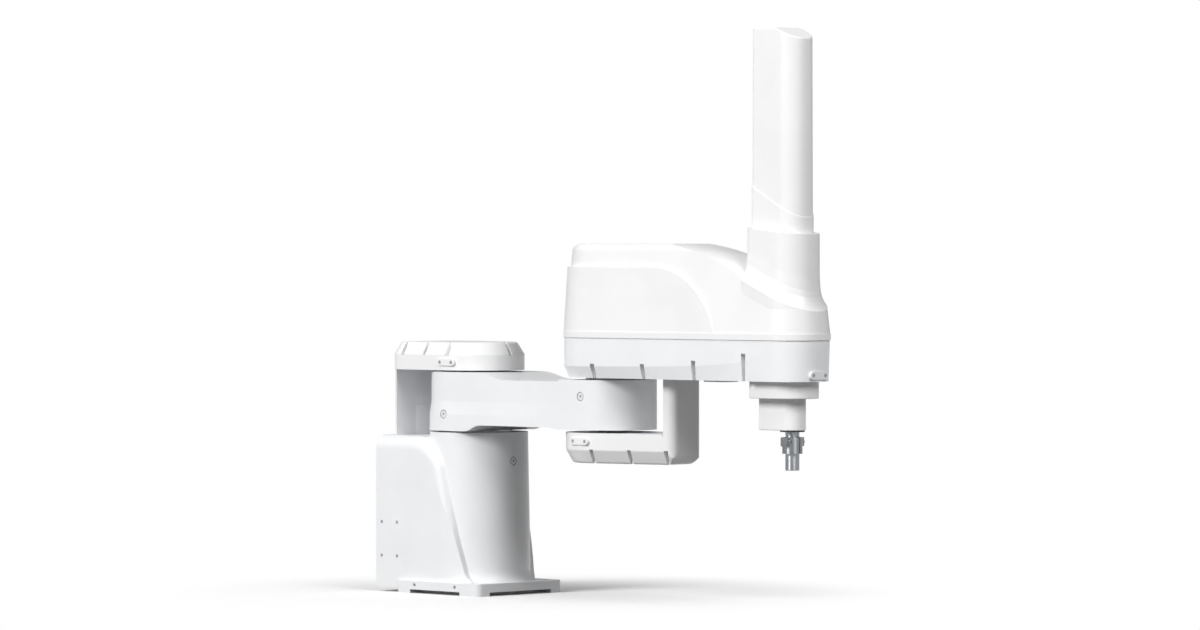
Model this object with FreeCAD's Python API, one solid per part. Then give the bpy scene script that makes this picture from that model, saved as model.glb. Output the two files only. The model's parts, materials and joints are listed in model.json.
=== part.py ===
import FreeCAD, Part
import math
import os

V = FreeCAD.Vector

# Sizes are in millimetres. The first joint's axis is X = 0, Y = 0, the floor is Z = 0,
# and the arm lies stretched out along +X.

# Arm layout
ARM_1 = 350.0
ARM_2 = 450.0
SEAT_GAP = 0.3
RUNNING_GAP = 0.05
SCREW_GAP = 0.3

# Base casting
FLANGE_HALF = 111.0
FLANGE_TOP = 23.0
FLANGE_CORNER = 14.0
BOLT_HALF = 88.0
BOLT_HOLE_R = 5.5
BOLT_POCKET_R = 10.0
BOLT_SEAT_Z = 17.0
RELIEF_HEIGHT = 7.0
RELIEF_DEPTH = 25.0
RELIEF_SIDE_REAR = -70.0
RELIEF_SIDE_FRONT = 63.0
RELIEF_FRONT_HALF = 79.0
JACK_HOLE_R = 3.5
JACK_HOLE_DEPTH = 20.0
JACK_HOLE_X = (-58.0, 50.0)
JACK_HOLE_Z = 15.5
COLUMN_TOP_R = 91.5
COLUMN_LOW_R = 96.0
COLUMN_TOP = 300.0
FLARE_HEIGHT = 26.0
FLARE_REACH = 6.0
BOX_REAR = -169.0
BOX_HALF = 105.0
BOX_BOTTOM = 9.0
BOX_EDGE_Z = 268.0
BOX_ROUND = 24.0
BOX_SHOULDER_X = -70.0
BOX_SHOULDER_R = 60.0
BOX_SLOPE_DEG = 70.0
BOX_FOOT_TURN_DEG = 34.0
BOX_FOOT_R = 41.0
BOX_FOOT_X = 69.0
BASE_WALL = 8.0
MOTOR_BAY_R = 80.0
LEDGE_BOTTOM = 238.0
REDUCER_SEAT_Z = 250.0
LEDGE_HOLE_R = 50.0

# First joint: cap, riser and drive
CAP_R = 85.0
CAP_REAR = 157.0
CAP_CORNER = 30.0
CAP_BOTTOM = 415.0
CAP_CREASE = 444.0
CAP_TOP = 467.0
CAP_BEVEL = 14.0
TOP_EDGE_DROP = 3.0
TOP_EDGE_INSET = 2.5
CAP_WALL = 3.0
CAP_FLOOR = 4.0
CAP_NOTCH_X = (-118.0, -60.0, 0.0)
NOTCH_WIDTH = 7.0
NOTCH_INTO_BEVEL = 2.5
RISER_DEPTH = 18.0
RISER_INSET = 1.0
RISER_SLOT_HALF = 50.0
RISER_FOOT_DEPTH = 10.0
RISER_FOOT_HALF = 36.0
RISER_FOOT_HEIGHT = 55.0
RISER_FOOT_SLOPE = 0.5
CABLE_PIPE_R = 27.0
CABLE_PIPE_WALL = 2.5
J1_REDUCER_R = 74.0
J1_MOTOR_HALF = 42.5
J1_MOTOR_LENGTH = 105.0
MOTOR_PLATE = 8.0
MOTOR_PLATE_INSET = 6.0
DRIVE_SHAFT_R = 8.0
DRIVE_SHAFT_DEPTH = 18.0
SERVO_CUT = 0.2
ENCODER_SHARE = 0.82
ENCODER_HEIGHT = 26.0
BEARING_WALL = 3.0
OUTPUT_LOW = 290.0
OUTPUT_HIGH = 312.0
PIPE_DIP = 10.0
PANEL_THICK = 3.0
PANEL_SCREW_R = 1.6
PANEL_SCREW_HEAD = 2.0
PANEL_SCREWS = ((-90.0, 24.0), (90.0, 24.0), (-90.0, 138.0), (90.0, 138.0), (-90.0, 252.0), (90.0, 252.0))
POWER_PLACE = (-52.0, 200.0)
POWER_SIZE = (22.0, 14.0, 24.0)
POWER_FOOT = 4.0
POWER_RIM = 5.0
POWER_WALL = 3.0
PIN_R = 1.6
PIN_PITCH = 7.0
PIN_ROW = 6.0
SIGNAL_PLACES = ((14.0, 200.0), (60.0, 200.0))
SIGNAL_SIZES = (13.0, 18.0, 10.5, 17.0, 4.0)
AIR_PLACES = ((-60.0, 130.0), (-30.0, 130.0), (0.0, 130.0))
AIR_SIZES = (6.5, 17.0, 3.0, 8.0, 6.0)

# Link between the two main joints
LINK_HUB_R = 92.0
LINK_END_R = 82.0
LINK_HUB_LOW = 303.0
LINK_HUB_HIGH = 412.0
LINK_END_LOW = 312.0
LINK_END_HIGH = 403.0
LINK_MID_LOW = 315.0
LINK_MID_HIGH = 399.0
LINK_SIDE_STEP = 3.5
LINK_STEP_LOW = 333.0
LINK_STEP_HIGH = 358.0
LINK_WALL = 8.0
OUTPUT_FLANGE_R = 62.0
LINK_PORT_R = 34.0
LINK_ROOM_LOW = 321.0
LINK_ROOM_HIGH = 387.0
LINK_TOP_RAMPS = (75.0, 169.0, 285.0, 302.0)
LINK_LOW_RAMPS = (50.0, 97.0, 268.0, 302.0)
KNEE_FLANGE_R = 48.0
KNEE_FLANGE_LOW = 395.0
KNEE_FLANGE_HIGH = 420.0

# Second joint: lower cap with its riser, which turn with the forearm
KNEE_CAP_R = 84.0
KNEE_FRONT = 191.5
KNEE_FRONT_HALF = 37.0
KNEE_CORNER = 7.0
KNEE_BOTTOM = 252.0
KNEE_CREASE = 276.0
KNEE_TOP = 307.0
KNEE_BEVEL = 13.0
KNEE_WALL = 3.0
KNEE_RISER_DEPTH = 21.0
DUCT_SHARE = 0.8
KNEE_NOTCH_ALONG = (1.0, 84.0, 164.0)
J2_REDUCER_R = 62.0

# Forearm tray and its cover
TRAY_BOTTOM = 407.0
TRAY_TOP = 480.0
LIP_TOP = TRAY_TOP + 11.0
LIP_REAR_R = 89.0
LIP_FRONT_R = 68.0
LIP_PROUD = 2.0
TRAY_BASE_REAR_R = 78.0
TRAY_BASE_FRONT_R = 64.0
BEVEL_SHARE_REAR = 0.288
BEVEL_SHARE_FRONT = 0.918
TRAY_WALL = 5.0
TRAY_FLOOR = 6.0
TRAY_NOTCH_X = (ARM_1 + 34.0, ARM_1 + 155.0, ARM_1 + 277.0, ARM_1 + 395.0)
TRAY_NOTCH_SHARE = (0.356, 0.370, 0.479, 0.671)
TRAY_NOTCH_WIDTH = 10.0
COVER_WALL = 3.0
COVER_TOP = 650.0
PANEL_RIDGE_Z = 608.0
PANEL_REAR_LOW_R = 88.0
PANEL_REAR_HIGH_R = 81.0
PANEL_LOW_SINK = 1.6
PANEL_HIGH_SINK = 2.0
PANEL_ARC_R = 160.0
PANEL_ARC_X = ARM_1 + 170.0
HUMP_LOW_R = 86.0
HUMP_HIGH_R = 72.5
NOSE_LOW_R = 67.0
NOSE_HIGH_R = 51.0

# Quill: collar, tall tube, housings and shaft
COLLAR_R = 48.0
COLLAR_REAR = 72.0
COLLAR_CORNER = 14.0
COLLAR_RIM_Z = 671.5
COLLAR_RIM_SLOPE = 0.1
CREASE_Z = 557.7
CREASE_SLOPE = 0.43
TUBE_R = 36.0
TUBE_REAR = 68.0
TUBE_CORNER = 9.0
TUBE_TOP = 1032.0
TUBE_FRONT_TOP = 1012.0
TUBE_WALL = 3.0
TUBE_STEP_Z = 737.0
TUBE_STEP = 1.4
HOUSING_R = 47.0
HOUSING_REAR = 66.0
HOUSING_CORNER = 10.0
HOUSING_BOTTOM = 376.5
SNOUT_R = 24.0
SNOUT_REAR = 62.0
SNOUT_CORNER = 6.0
SNOUT_BOTTOM = 320.0
SHAFT_R = 12.5
SHAFT_BORE_R = 7.0
SHAFT_TIP_Z = 249.0
SHAFT_TOP_Z = 992.0
SHAFT_PLAIN = 45.0
SPLINE_GROOVE_R = 1.6
SHAFT_RELIEF = 0.5
SHAFT_RELIEF_WIDTH = 1.5
SPLINE_GROOVES = 6
STOP_COLLAR_Z = (292.0, 308.0)
STOP_COLLAR_R = 18.0
CLAMP_HALF = 22.0

# Forearm, inside and small parts
SIDE_CREASE_Y = 62.0
# Points of the crease as (distance from the second joint's axis, height)
SIDE_CREASE = (
    (197.0, 650.0), (235.0, 643.0), (289.0, 630.0), (338.0, 610.0), (393.0, 582.2), (450.0, 557.7))
MIDDLE_CREASE = (
    (197.0, 650.0), (250.0, 644.0), (310.0, 634.0), (355.0, 623.0), (410.0, 585.0), (450.0, 557.7))
LIP_FLANGE = 11.0
WALL_ROUND_STEPS = 5
WALL_ROUND_HEIGHT = 16.0
WALL_ROUND_DEPTH = 14.0
FLARE_DEPTH = 40.0
FLARE_OUT = 14.0
FLARE_REAR_SHARE = 0.15
FLARE_FALL = 13.0
FLARE_LEVELS = (0.0, 3.0, 7.0, 12.0, 19.0, 30.0, 52.0, 190.0)
TRAY_BOSS_R = 11.0
TRAY_NOTCH_DEPTH = 6.0
COVER_SCREW_R = 2.0
COVER_HEAD_R = 3.2
COVER_HEAD_HEIGHT = 2.5
COVER_SCREW_INSET = 3.6
COVER_SCREW_REACH = 8.0
PAD_X = ARM_1 + 275.0
PAD_LENGTH = 53.0
PAD_HALF = 20.0
PAD_THICK = 4.0
COLLAR_RIM = 4.0
TUBE_LOW = 640.0
TUBE_TAPER = 0.8
TUBE_STEP_SPAN = 40.0
TUBE_SLANT_X = 12.0
SEAL_HEIGHT = 2.5
BUSHING_HEIGHT = 28.0
STOP_RING_HEIGHT = 13.0
UPPER_STOP_DROP = 14.0
UPPER_STOP_HEIGHT = 10.0
CLAMP_GAP = 0.02
CLAMP_DEPTH = 8.0
CLAMP_SCREW_Y = 17.0
CLAMP_SCREW_R = 2.0
CLAMP_HEAD_R = 3.4
CLAMP_HEAD_HEIGHT = 3.0
J2_MOTOR_HALF = 40.0
J2_MOTOR_LOW = 452.0
J2_MOTOR_LENGTH = 95.0
NUT_R = 24.0
NUT_PULLEY_R = 40.0
PULLEY_RIM = 1.5
RIM_THICK = 1.0
SPLINE_BEARING_R = 33.0
SPLINE_BEARING_DEPTH = 26.0
BEARING_FLANGE = 5.0
BEARING_FLANGE_OUT = 9.0
NUT_FLANGE_OUT = 8.0
CARRIER_R = 56.0
CARRIER_TOP = 480.0
CARRIER_PLATE = 10.0
POST_R = 6.0
POST_RING = 51.5
POST_ANGLES = (60.0, 100.0, 260.0, 300.0)
BALL_NUT_RISE = 10.0
THETA_BELT_LOW = 424.0
THETA_BELT_HIGH = 444.0
THETA_MOTOR_X = ARM_1 + 205.0
THETA_MOTOR_HALF = 30.0
THETA_MOTOR_LENGTH = 90.0
THETA_MOTOR_PULLEY_R = 16.0
THETA_STAND_Y = 52.0
Z_BELT_LOW = 492.0
Z_BELT_HIGH = 512.0
Z_MOTOR_X = ARM_1 + 305.0
Z_MOTOR_HALF = 30.0
Z_MOTOR_LENGTH = 72.0
Z_MOTOR_PULLEY_R = 20.0
Z_STAND_Y = 50.0
STAND_PLATE = 8.0
STAND_RIM = 5.0
STAND_CLEAR = 4.0
STAND_HOLE_R = 24.0
MOTOR_SHAFT_R = 7.0
BELT_GAP = 0.3
BELT_THICK = 2.5
BELT_EDGE = 1.3

# Plugs, screws and index bosses
PLUG_R = 7.2
PLUG_GAP = 1.0
PLUG_DEPTH = 8.0
LINK_PLUG_DEPTH = 6.0
PLUG_SUNK = 0.7
PLUG_DIMPLE_DEPTH = 3.5
PLUG_DIMPLE_R = 2.6
COLUMN_PLUG_Z = 247.0
LINK_PLUGS = ((0.0, 334.0, LINK_HUB_R), (ARM_1, 373.0, LINK_END_R))
SIDE_SCREW_HEAD_R = 2.8
SIDE_SCREW_HEAD = 2.0
SIDE_SCREWS = ((-153.5, 130.0), (-112.0, 130.0), (-153.5, 67.0), (-112.0, 67.0))
BOSS_LENGTH = 46.0
BOSS_HEIGHT = 14.0
BOSS_PROUD = 3.0
BOSS_SCREW_PITCH = 30.0
BOSS_SCREW_R = 3.2
BOSS_SCREW_DEPTH = 2.5
CAP_BOSS_Z = 430.0
KNEE_BOSS_Z = 292.0
NOSE_BOSS_Z = 418.0


def block(x_limits, y_limits, z_limits):
    """Block between three pairs of limits."""
    size = [pair[1] - pair[0] for pair in (x_limits, y_limits, z_limits)]
    return Part.makeBox(*size, V(x_limits[0], y_limits[0], z_limits[0]))


def disc(radius, bottom, top, x=0.0, y=0.0):
    """Upright cylinder between two heights."""
    return Part.makeCylinder(radius, top - bottom, V(x, y, bottom))


def ring(outer, inner, bottom, top, x=0.0, y=0.0):
    """Upright tube between two heights."""
    return disc(outer, bottom, top, x, y).cut(disc(inner, bottom - 1, top + 1, x, y))


def side_disc(radius, x, z, y_start, length):
    """Cylinder along Y."""
    return Part.makeCylinder(radius, length, V(x, y_start, z), V(0, 1, 0))


def union(shapes):
    """One solid from touching or overlapping solids."""
    return shapes[0].multiFuse(shapes[1:]).removeSplitter()


def extruded(wire, direction):
    """Solid swept from a flat closed wire."""
    return Part.Face(wire).extrude(direction)


def lofted(wires):
    """Smooth solid through closed wires of like edges."""
    return Part.makeLoft(wires, True, False)


def ruled(wires):
    """Solid through a row of outlines, straight between each two."""
    return Part.makeLoft(wires, True, True)


def line(start, end):
    """Straight edge."""
    return Part.LineSegment(start, end).toShape()


def arc(start, middle, end):
    """Round edge through three points."""
    return Part.Arc(start, middle, end).toShape()


def racetrack(x_rear, r_rear, x_front, r_front, z):
    """Outline of two circles and the tangents that join them."""
    lean = math.asin((r_rear - r_front) / (x_front - x_rear))
    rear_x = x_rear + r_rear * math.sin(lean)
    rear_y = r_rear * math.cos(lean)
    front_x = x_front + r_front * math.sin(lean)
    front_y = r_front * math.cos(lean)
    edges = [
        arc(V(rear_x, rear_y, z), V(x_rear - r_rear, 0, z), V(rear_x, -rear_y, z)),
        line(V(rear_x, -rear_y, z), V(front_x, -front_y, z)),
        arc(V(front_x, -front_y, z), V(x_front + r_front, 0, z), V(front_x, front_y, z)),
        line(V(front_x, front_y, z), V(rear_x, rear_y, z)),
    ]
    return Part.Wire(edges)


def u_outline(x_axis, radius, rear, corner, z, grow=0.0, facing=1.0):
    """Outline with a round nose about x_axis and a flat back with round corners.

    grow moves the whole outline outwards, and facing -1 points the nose to -X.
    """
    r = radius + grow
    back = x_axis - facing * (rear + grow)
    c = max(corner + grow, 0.5)
    inner = back + facing * c
    bend = c * (1 - math.sqrt(0.5))
    edges = [
        arc(V(x_axis, -r, z), V(x_axis + facing * r, 0, z), V(x_axis, r, z)),
        line(V(x_axis, r, z), V(inner, r, z)),
        arc(V(inner, r, z), V(back + facing * bend, r - bend, z), V(back, r - c, z)),
        line(V(back, r - c, z), V(back, c - r, z)),
        arc(V(back, c - r, z), V(back + facing * bend, bend - r, z), V(inner, -r, z)),
        line(V(inner, -r, z), V(x_axis, -r, z)),
    ]
    return Part.Wire(edges)


def u_prism(x_axis, radius, rear, corner, bottom, top, grow=0.0):
    """Upright solid on a u_outline."""
    return extruded(u_outline(x_axis, radius, rear, corner, bottom, grow), V(0, 0, top - bottom))


def above_plane(x_axis, z_axis, slope, reach=400.0):
    """Everything above a plane that falls by slope for each millimetre along X."""
    drop = slope * reach
    points = [
        V(x_axis - reach, -reach, z_axis + drop),
        V(x_axis + reach, -reach, z_axis - drop),
        V(x_axis + reach, -reach, z_axis + 2 * reach),
        V(x_axis - reach, -reach, z_axis + 2 * reach),
    ]
    return extruded(Part.makePolygon(points + points[:1]), V(0, 2 * reach, 0))


def both_sides(shape):
    """A shape and its mirror image across the XZ plane."""
    return [shape, shape.mirror(V(0, 0, 0), V(0, 1, 0))]


# Base

def column_radius(z):
    """Radius of the tapered column at a height."""
    low_z = FLANGE_TOP + FLARE_HEIGHT
    share = (z - low_z) / (COLUMN_TOP - low_z)
    return COLUMN_LOW_R + (COLUMN_TOP_R - COLUMN_LOW_R) * share


def box_profile(y, rise):
    """Side outline of the rear box at one depth, with its upper edge raised by rise.

    The top runs flat to the shoulder, rounds down into a straight slope, and a wide
    hollow arc leads the slope out to the flange.
    """
    slope = math.radians(BOX_SLOPE_DEG)
    top = BOX_EDGE_Z + rise
    shoulder_r = BOX_SHOULDER_R + rise
    shoulder_z = top - shoulder_r
    shoulder_end = V(BOX_SHOULDER_X + shoulder_r * math.sin(slope), y,
                     shoulder_z + shoulder_r * math.cos(slope))
    shoulder_mid = V(BOX_SHOULDER_X + shoulder_r * math.sin(slope / 2), y,
                     shoulder_z + shoulder_r * math.cos(slope / 2))
    foot = V(BOX_FOOT_X, y, FLANGE_TOP - 1)
    foot_slope = math.radians(BOX_SLOPE_DEG - BOX_FOOT_TURN_DEG)
    centre_z = foot.z + BOX_FOOT_R * math.cos(foot_slope)
    centre_x = foot.x + BOX_FOOT_R * math.sin(foot_slope)
    foot_start = V(centre_x - BOX_FOOT_R * math.sin(slope), y, centre_z - BOX_FOOT_R * math.cos(slope))
    foot_bend = (slope + foot_slope) / 2
    foot_mid = V(centre_x - BOX_FOOT_R * math.sin(foot_bend), y, centre_z - BOX_FOOT_R * math.cos(foot_bend))
    rear_low = V(BOX_REAR, y, BOX_BOTTOM)
    front_low = V(BOX_FOOT_X, y, BOX_BOTTOM)
    edges = [
        line(rear_low, V(BOX_REAR, y, top)),
        line(V(BOX_REAR, y, top), V(BOX_SHOULDER_X, y, top)),
        arc(V(BOX_SHOULDER_X, y, top), shoulder_mid, shoulder_end),
        line(shoulder_end, foot_start),
        arc(foot_start, foot_mid, foot),
        line(foot, front_low),
        line(front_low, rear_low),
    ]
    return Part.Wire(edges)


def base_casting():
    """Flange, column and rear box in one hollow casting."""
    flange = block((-FLANGE_HALF, FLANGE_HALF), (-FLANGE_HALF, FLANGE_HALF), (0, FLANGE_TOP))
    upright = [edge for edge in flange.Edges if abs(edge.tangentAt(edge.FirstParameter).z) > 0.9]
    flange = flange.makeFillet(FLANGE_CORNER, upright)

    flare_r = COLUMN_LOW_R + FLARE_REACH
    flare_top = FLANGE_TOP + FLARE_HEIGHT
    profile = [
        line(V(0, 0, 1), V(flare_r, 0, 1)),
        line(V(flare_r, 0, 1), V(flare_r, 0, FLANGE_TOP)),
        arc(V(flare_r, 0, FLANGE_TOP),
            V(COLUMN_LOW_R + FLARE_REACH * 0.25, 0, FLANGE_TOP + FLARE_HEIGHT * 0.4),
            V(COLUMN_LOW_R, 0, flare_top)),
        line(V(COLUMN_LOW_R, 0, flare_top), V(COLUMN_TOP_R, 0, COLUMN_TOP)),
        line(V(COLUMN_TOP_R, 0, COLUMN_TOP), V(0, 0, COLUMN_TOP)),
        line(V(0, 0, COLUMN_TOP), V(0, 0, 1)),
    ]
    column = Part.Face(Part.Wire(profile)).revolve(V(0, 0, 0), V(0, 0, 1), 360)

    inner_half = BOX_HALF - BOX_ROUND
    middle = extruded(box_profile(-inner_half, BOX_ROUND), V(0, 2 * inner_half, 0))
    steps = [math.radians(angle) for angle in (0, 30, 60, 90)]
    shoulder = lofted([box_profile(-inner_half - BOX_ROUND * math.cos(turn), BOX_ROUND * math.sin(turn))
                       for turn in steps])
    rounded = disc(BOX_HALF, BOX_BOTTOM, BOX_EDGE_Z + BOX_ROUND).fuse(
        block((BOX_REAR, 0), (-BOX_HALF, BOX_HALF), (BOX_BOTTOM, BOX_EDGE_Z + BOX_ROUND)))
    box = union([middle] + both_sides(shoulder)).common(rounded)
    body = union([flange, column, box])

    bay = disc(MOTOR_BAY_R, FLANGE_TOP - BASE_WALL, LEDGE_BOTTOM)
    seat = disc(J1_REDUCER_R + SEAT_GAP, REDUCER_SEAT_Z, COLUMN_TOP + 1)
    hole = disc(LEDGE_HOLE_R, LEDGE_BOTTOM - 1, REDUCER_SEAT_Z + 1)
    rear_room = block((BOX_REAR - 1, -MOTOR_BAY_R * 0.6),
                      (BASE_WALL - BOX_HALF, BOX_HALF - BASE_WALL),
                      (BOX_BOTTOM + BASE_WALL, BOX_EDGE_Z - BASE_WALL))
    cable_port = block((CAP_WALL + RISER_INSET - CAP_REAR, RISER_DEPTH - CAP_REAR - CAP_WALL),
                       (-RISER_SLOT_HALF, RISER_SLOT_HALF),
                       (BOX_EDGE_Z - BASE_WALL - 1, BOX_EDGE_Z + BOX_ROUND + 1))
    body = body.cut(bay).cut(seat).cut(hole).cut(rear_room).cut(cable_port)

    for x in (-BOLT_HALF, BOLT_HALF):
        for y in (-BOLT_HALF, BOLT_HALF):
            body = body.cut(disc(BOLT_HOLE_R, -1, FLANGE_TOP + 1, x, y))
            if x > 0:
                body = body.cut(disc(BOLT_POCKET_R, BOLT_SEAT_Z, COLUMN_TOP, x, y))
    side_relief = block((RELIEF_SIDE_REAR, RELIEF_SIDE_FRONT),
                        (-FLANGE_HALF - 1, RELIEF_DEPTH - FLANGE_HALF), (-1, RELIEF_HEIGHT))
    front_relief = block((FLANGE_HALF - RELIEF_DEPTH, FLANGE_HALF + 1),
                         (-RELIEF_FRONT_HALF, RELIEF_FRONT_HALF), (-1, RELIEF_HEIGHT))
    for relief in both_sides(side_relief) + [front_relief]:
        body = body.cut(relief)
    for x in JACK_HOLE_X:
        for hole in both_sides(side_disc(JACK_HOLE_R, x, JACK_HOLE_Z, -FLANGE_HALF - 1, JACK_HOLE_DEPTH + 1)):
            body = body.cut(hole)
    for x, z in SIDE_SCREWS:
        sink = side_disc(SIDE_SCREW_HEAD_R + SCREW_GAP, x, z, -BOX_HALF - 1, SIDE_SCREW_HEAD + 1)
        for hole in both_sides(sink):
            body = body.cut(hole)
    plug_seat = Part.makeCylinder(PLUG_R + PLUG_GAP, 2 * PLUG_DEPTH,
                                  V(column_radius(COLUMN_PLUG_Z) - PLUG_DEPTH, 0, COLUMN_PLUG_Z),
                                  V(1, 0, 0))
    return body.cut(plug_seat)


def column_plug():
    """Round plug in the front of the column with a small dimple."""
    length = PLUG_DEPTH - PLUG_SUNK
    start = V(column_radius(COLUMN_PLUG_Z) - PLUG_DEPTH, 0, COLUMN_PLUG_Z)
    dimple_start = start + V(length - PLUG_DIMPLE_DEPTH, 0, 0)
    plug = Part.makeCylinder(PLUG_R, length, start, V(1, 0, 0))
    return plug.cut(Part.makeCylinder(PLUG_DIMPLE_R, PLUG_DIMPLE_DEPTH + 1, dimple_start, V(1, 0, 0)))


def side_screws():
    """Four small screws on each side of the rear box."""
    screws = []
    for x, z in SIDE_SCREWS:
        screws += both_sides(side_disc(SIDE_SCREW_HEAD_R, x, z, -BOX_HALF, SIDE_SCREW_HEAD))
    return Part.makeCompound(screws)


def rear_panel():
    """Connector plate that closes the rear box from behind."""
    half = BOX_HALF - BASE_WALL - SEAT_GAP
    low = BOX_BOTTOM + BASE_WALL + SEAT_GAP
    high = BOX_EDGE_Z - BASE_WALL - SEAT_GAP
    plate = block((BOX_REAR, BOX_REAR + PANEL_THICK), (-half, half), (low, high))
    for y, z in PANEL_SCREWS:
        plate = plate.cut(Part.makeCylinder(PANEL_SCREW_R + SCREW_GAP, 3 * PANEL_THICK,
                                            V(BOX_REAR - PANEL_THICK, y, z), V(1, 0, 0)))
    return plate


def rear_fitting(y, z, radius, length, bore_r, collar_r, collar_length):
    """Round connector on the rear panel, with a collar against the plate and an open mouth."""
    axis = V(-1, 0, 0)
    body = Part.makeCylinder(radius, length, V(BOX_REAR, y, z), axis)
    collar = Part.makeCylinder(collar_r, collar_length, V(BOX_REAR, y, z), axis)
    mouth = Part.makeCylinder(bore_r, length - collar_length, V(BOX_REAR - collar_length, y, z), axis)
    return body.fuse(collar).cut(mouth)


def power_connector():
    """Rectangular power inlet with a stepped open mouth."""
    y, z = POWER_PLACE
    half_y, half_z, length = POWER_SIZE
    face = BOX_REAR - POWER_FOOT

    def around(grow, x_limits):
        return block(x_limits, (y - half_y - grow, y + half_y + grow), (z - half_z - grow, z + half_z + grow))

    base = around(POWER_RIM, (face, BOX_REAR))
    shell = around(0.0, (BOX_REAR - length, BOX_REAR))
    mouth = around(-POWER_WALL, (BOX_REAR - length - 1, face))
    pin_length = length - 2 * POWER_FOOT
    pins = [Part.makeCylinder(PIN_R, pin_length, V(face, y + step * PIN_PITCH, z + row * PIN_ROW), V(-1, 0, 0))
            for step in (-2, -1, 0, 1, 2) for row in (-1, 1)]
    return union([base.fuse(shell).cut(mouth)] + pins)


def signal_connectors():
    """Two threaded round signal sockets."""
    return Part.makeCompound([rear_fitting(y, z, *SIGNAL_SIZES) for y, z in SIGNAL_PLACES])


def air_fittings():
    """Push-in air fittings in a row."""
    return Part.makeCompound([rear_fitting(y, z, *AIR_SIZES) for y, z in AIR_PLACES])


def panel_screws():
    """Screws that hold the rear panel, one by each corner and one midway on each side."""
    screws = []
    for y, z in PANEL_SCREWS:
        shank = Part.makeCylinder(PANEL_SCREW_R, PANEL_THICK, V(BOX_REAR, y, z), V(1, 0, 0))
        head = Part.makeCylinder(2 * PANEL_SCREW_R, PANEL_SCREW_HEAD, V(BOX_REAR, y, z), V(-1, 0, 0))
        screws.append(shank.fuse(head))
    return Part.makeCompound(screws)


def j1_motor():
    """Square servo motor hung under the reducer ledge, with its encoder cap and shaft."""
    plate_low = LEDGE_BOTTOM - MOTOR_PLATE
    body_low = plate_low - J1_MOTOR_LENGTH
    plate = disc(J1_REDUCER_R - MOTOR_PLATE_INSET, plate_low, LEDGE_BOTTOM)
    return servo(0.0, J1_MOTOR_HALF, body_low, plate_low, -ENCODER_HEIGHT, REDUCER_SEAT_Z + 15,
                 DRIVE_SHAFT_R).fuse(plate)


def servo(x, half, low, high, encoder, shaft_end, shaft_r):
    """Square servo motor with cut corners, a smaller encoder cap and a round shaft.

    encoder is the cap's height, negative when the cap points down.
    """
    cut = half * SERVO_CUT
    points = [V(x - half, cut - half, low), V(x + cut - half, -half, low), V(x + half - cut, -half, low),
              V(x + half, cut - half, low), V(x + half, half - cut, low), V(x + half - cut, half, low),
              V(x + cut - half, half, low), V(x - half, half - cut, low)]
    body = extruded(Part.makePolygon(points + points[:1]), V(0, 0, high - low))
    cap_half = half * ENCODER_SHARE
    cap_z = (low + encoder, low) if encoder < 0 else (high, high + encoder)
    cap = block((x - cap_half, x + cap_half), (-cap_half, cap_half), cap_z)
    shaft_z = (high, shaft_end) if encoder < 0 else (shaft_end, low)
    return union([body, cap, disc(shaft_r, shaft_z[0], shaft_z[1], x)])


def j1_reducer():
    """Strain-wave reducer housing in the column's top, recessed for its output flange."""
    housing = disc(J1_REDUCER_R, REDUCER_SEAT_Z, COLUMN_TOP - 0.5)
    recess = disc(OUTPUT_FLANGE_R + BEARING_WALL, OUTPUT_LOW, COLUMN_TOP + 1)
    return housing.cut(recess).cut(disc(DRIVE_SHAFT_R + SEAT_GAP, REDUCER_SEAT_Z - 1, REDUCER_SEAT_Z + 25))


def j1_bearing():
    """Outer ring of the crossed-roller bearing round the output flange."""
    return ring(OUTPUT_FLANGE_R + BEARING_WALL - RUNNING_GAP, OUTPUT_FLANGE_R + RUNNING_GAP,
                OUTPUT_LOW, COLUMN_TOP - 1)


def stepped(outline, levels):
    """Solid on an outline that moves in through levels of (height, inset)."""
    return union([Part.makeLoft([outline(z0, -i0), outline(z1, -i1)], True, True)
                  for (z0, i0), (z1, i1) in zip(levels, levels[1:])])


def shell_with_notches(outline, levels, wall, notches, kept):
    """Hollow shell, open at its first level, with notches that stay closed inside.

    The second level is the crease where the bevel starts, and kept is what stays solid.
    """
    sign = 1.0 if levels[-1][0] > levels[0][0] else -1.0
    outer = stepped(outline, levels)
    crease_z, crease_inset = levels[1]
    last_z, last_inset = levels[-1]
    inner = stepped(outline, [(levels[0][0] - sign, wall), (crease_z, crease_inset + wall),
                              (last_z - sign * wall, last_inset + wall)])
    backed = [outer.common(swollen(notch, wall)) for notch in notches]
    inner = inner.cut(backed + kept)
    return outer.fuse(kept).cut(inner).cut(notches)


def swollen(shape, wall):
    """Block round a shape, larger by a wall on each side."""
    limits = shape.BoundBox
    return block((limits.XMin - wall, limits.XMax + wall), (limits.YMin - wall, limits.YMax + wall),
                 (limits.ZMin - wall, limits.ZMax + wall))


def cap_outline(z, grow):
    """Plan of the first joint's cap at a height."""
    return u_outline(0.0, CAP_R, CAP_REAR, CAP_CORNER, z, grow)


def index_boss(depth):
    """Oblong boss that faces -Y, centred on the origin, standing from depth to its face at Y = 0."""
    half = (BOSS_LENGTH - BOSS_HEIGHT) / 2
    r = BOSS_HEIGHT / 2
    edges = [
        line(V(-half, 0, r), V(half, 0, r)),
        arc(V(half, 0, r), V(half + r, 0, 0), V(half, 0, -r)),
        line(V(half, 0, -r), V(-half, 0, -r)),
        arc(V(-half, 0, -r), V(-half - r, 0, 0), V(-half, 0, r)),
    ]
    boss = extruded(Part.Wire(edges), V(0, depth, 0))
    for x in (-BOSS_SCREW_PITCH / 2, BOSS_SCREW_PITCH / 2):
        boss = boss.cut(side_disc(BOSS_SCREW_R + SCREW_GAP, x, 0, -1, BOSS_SCREW_DEPTH + 1))
    return boss


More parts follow.
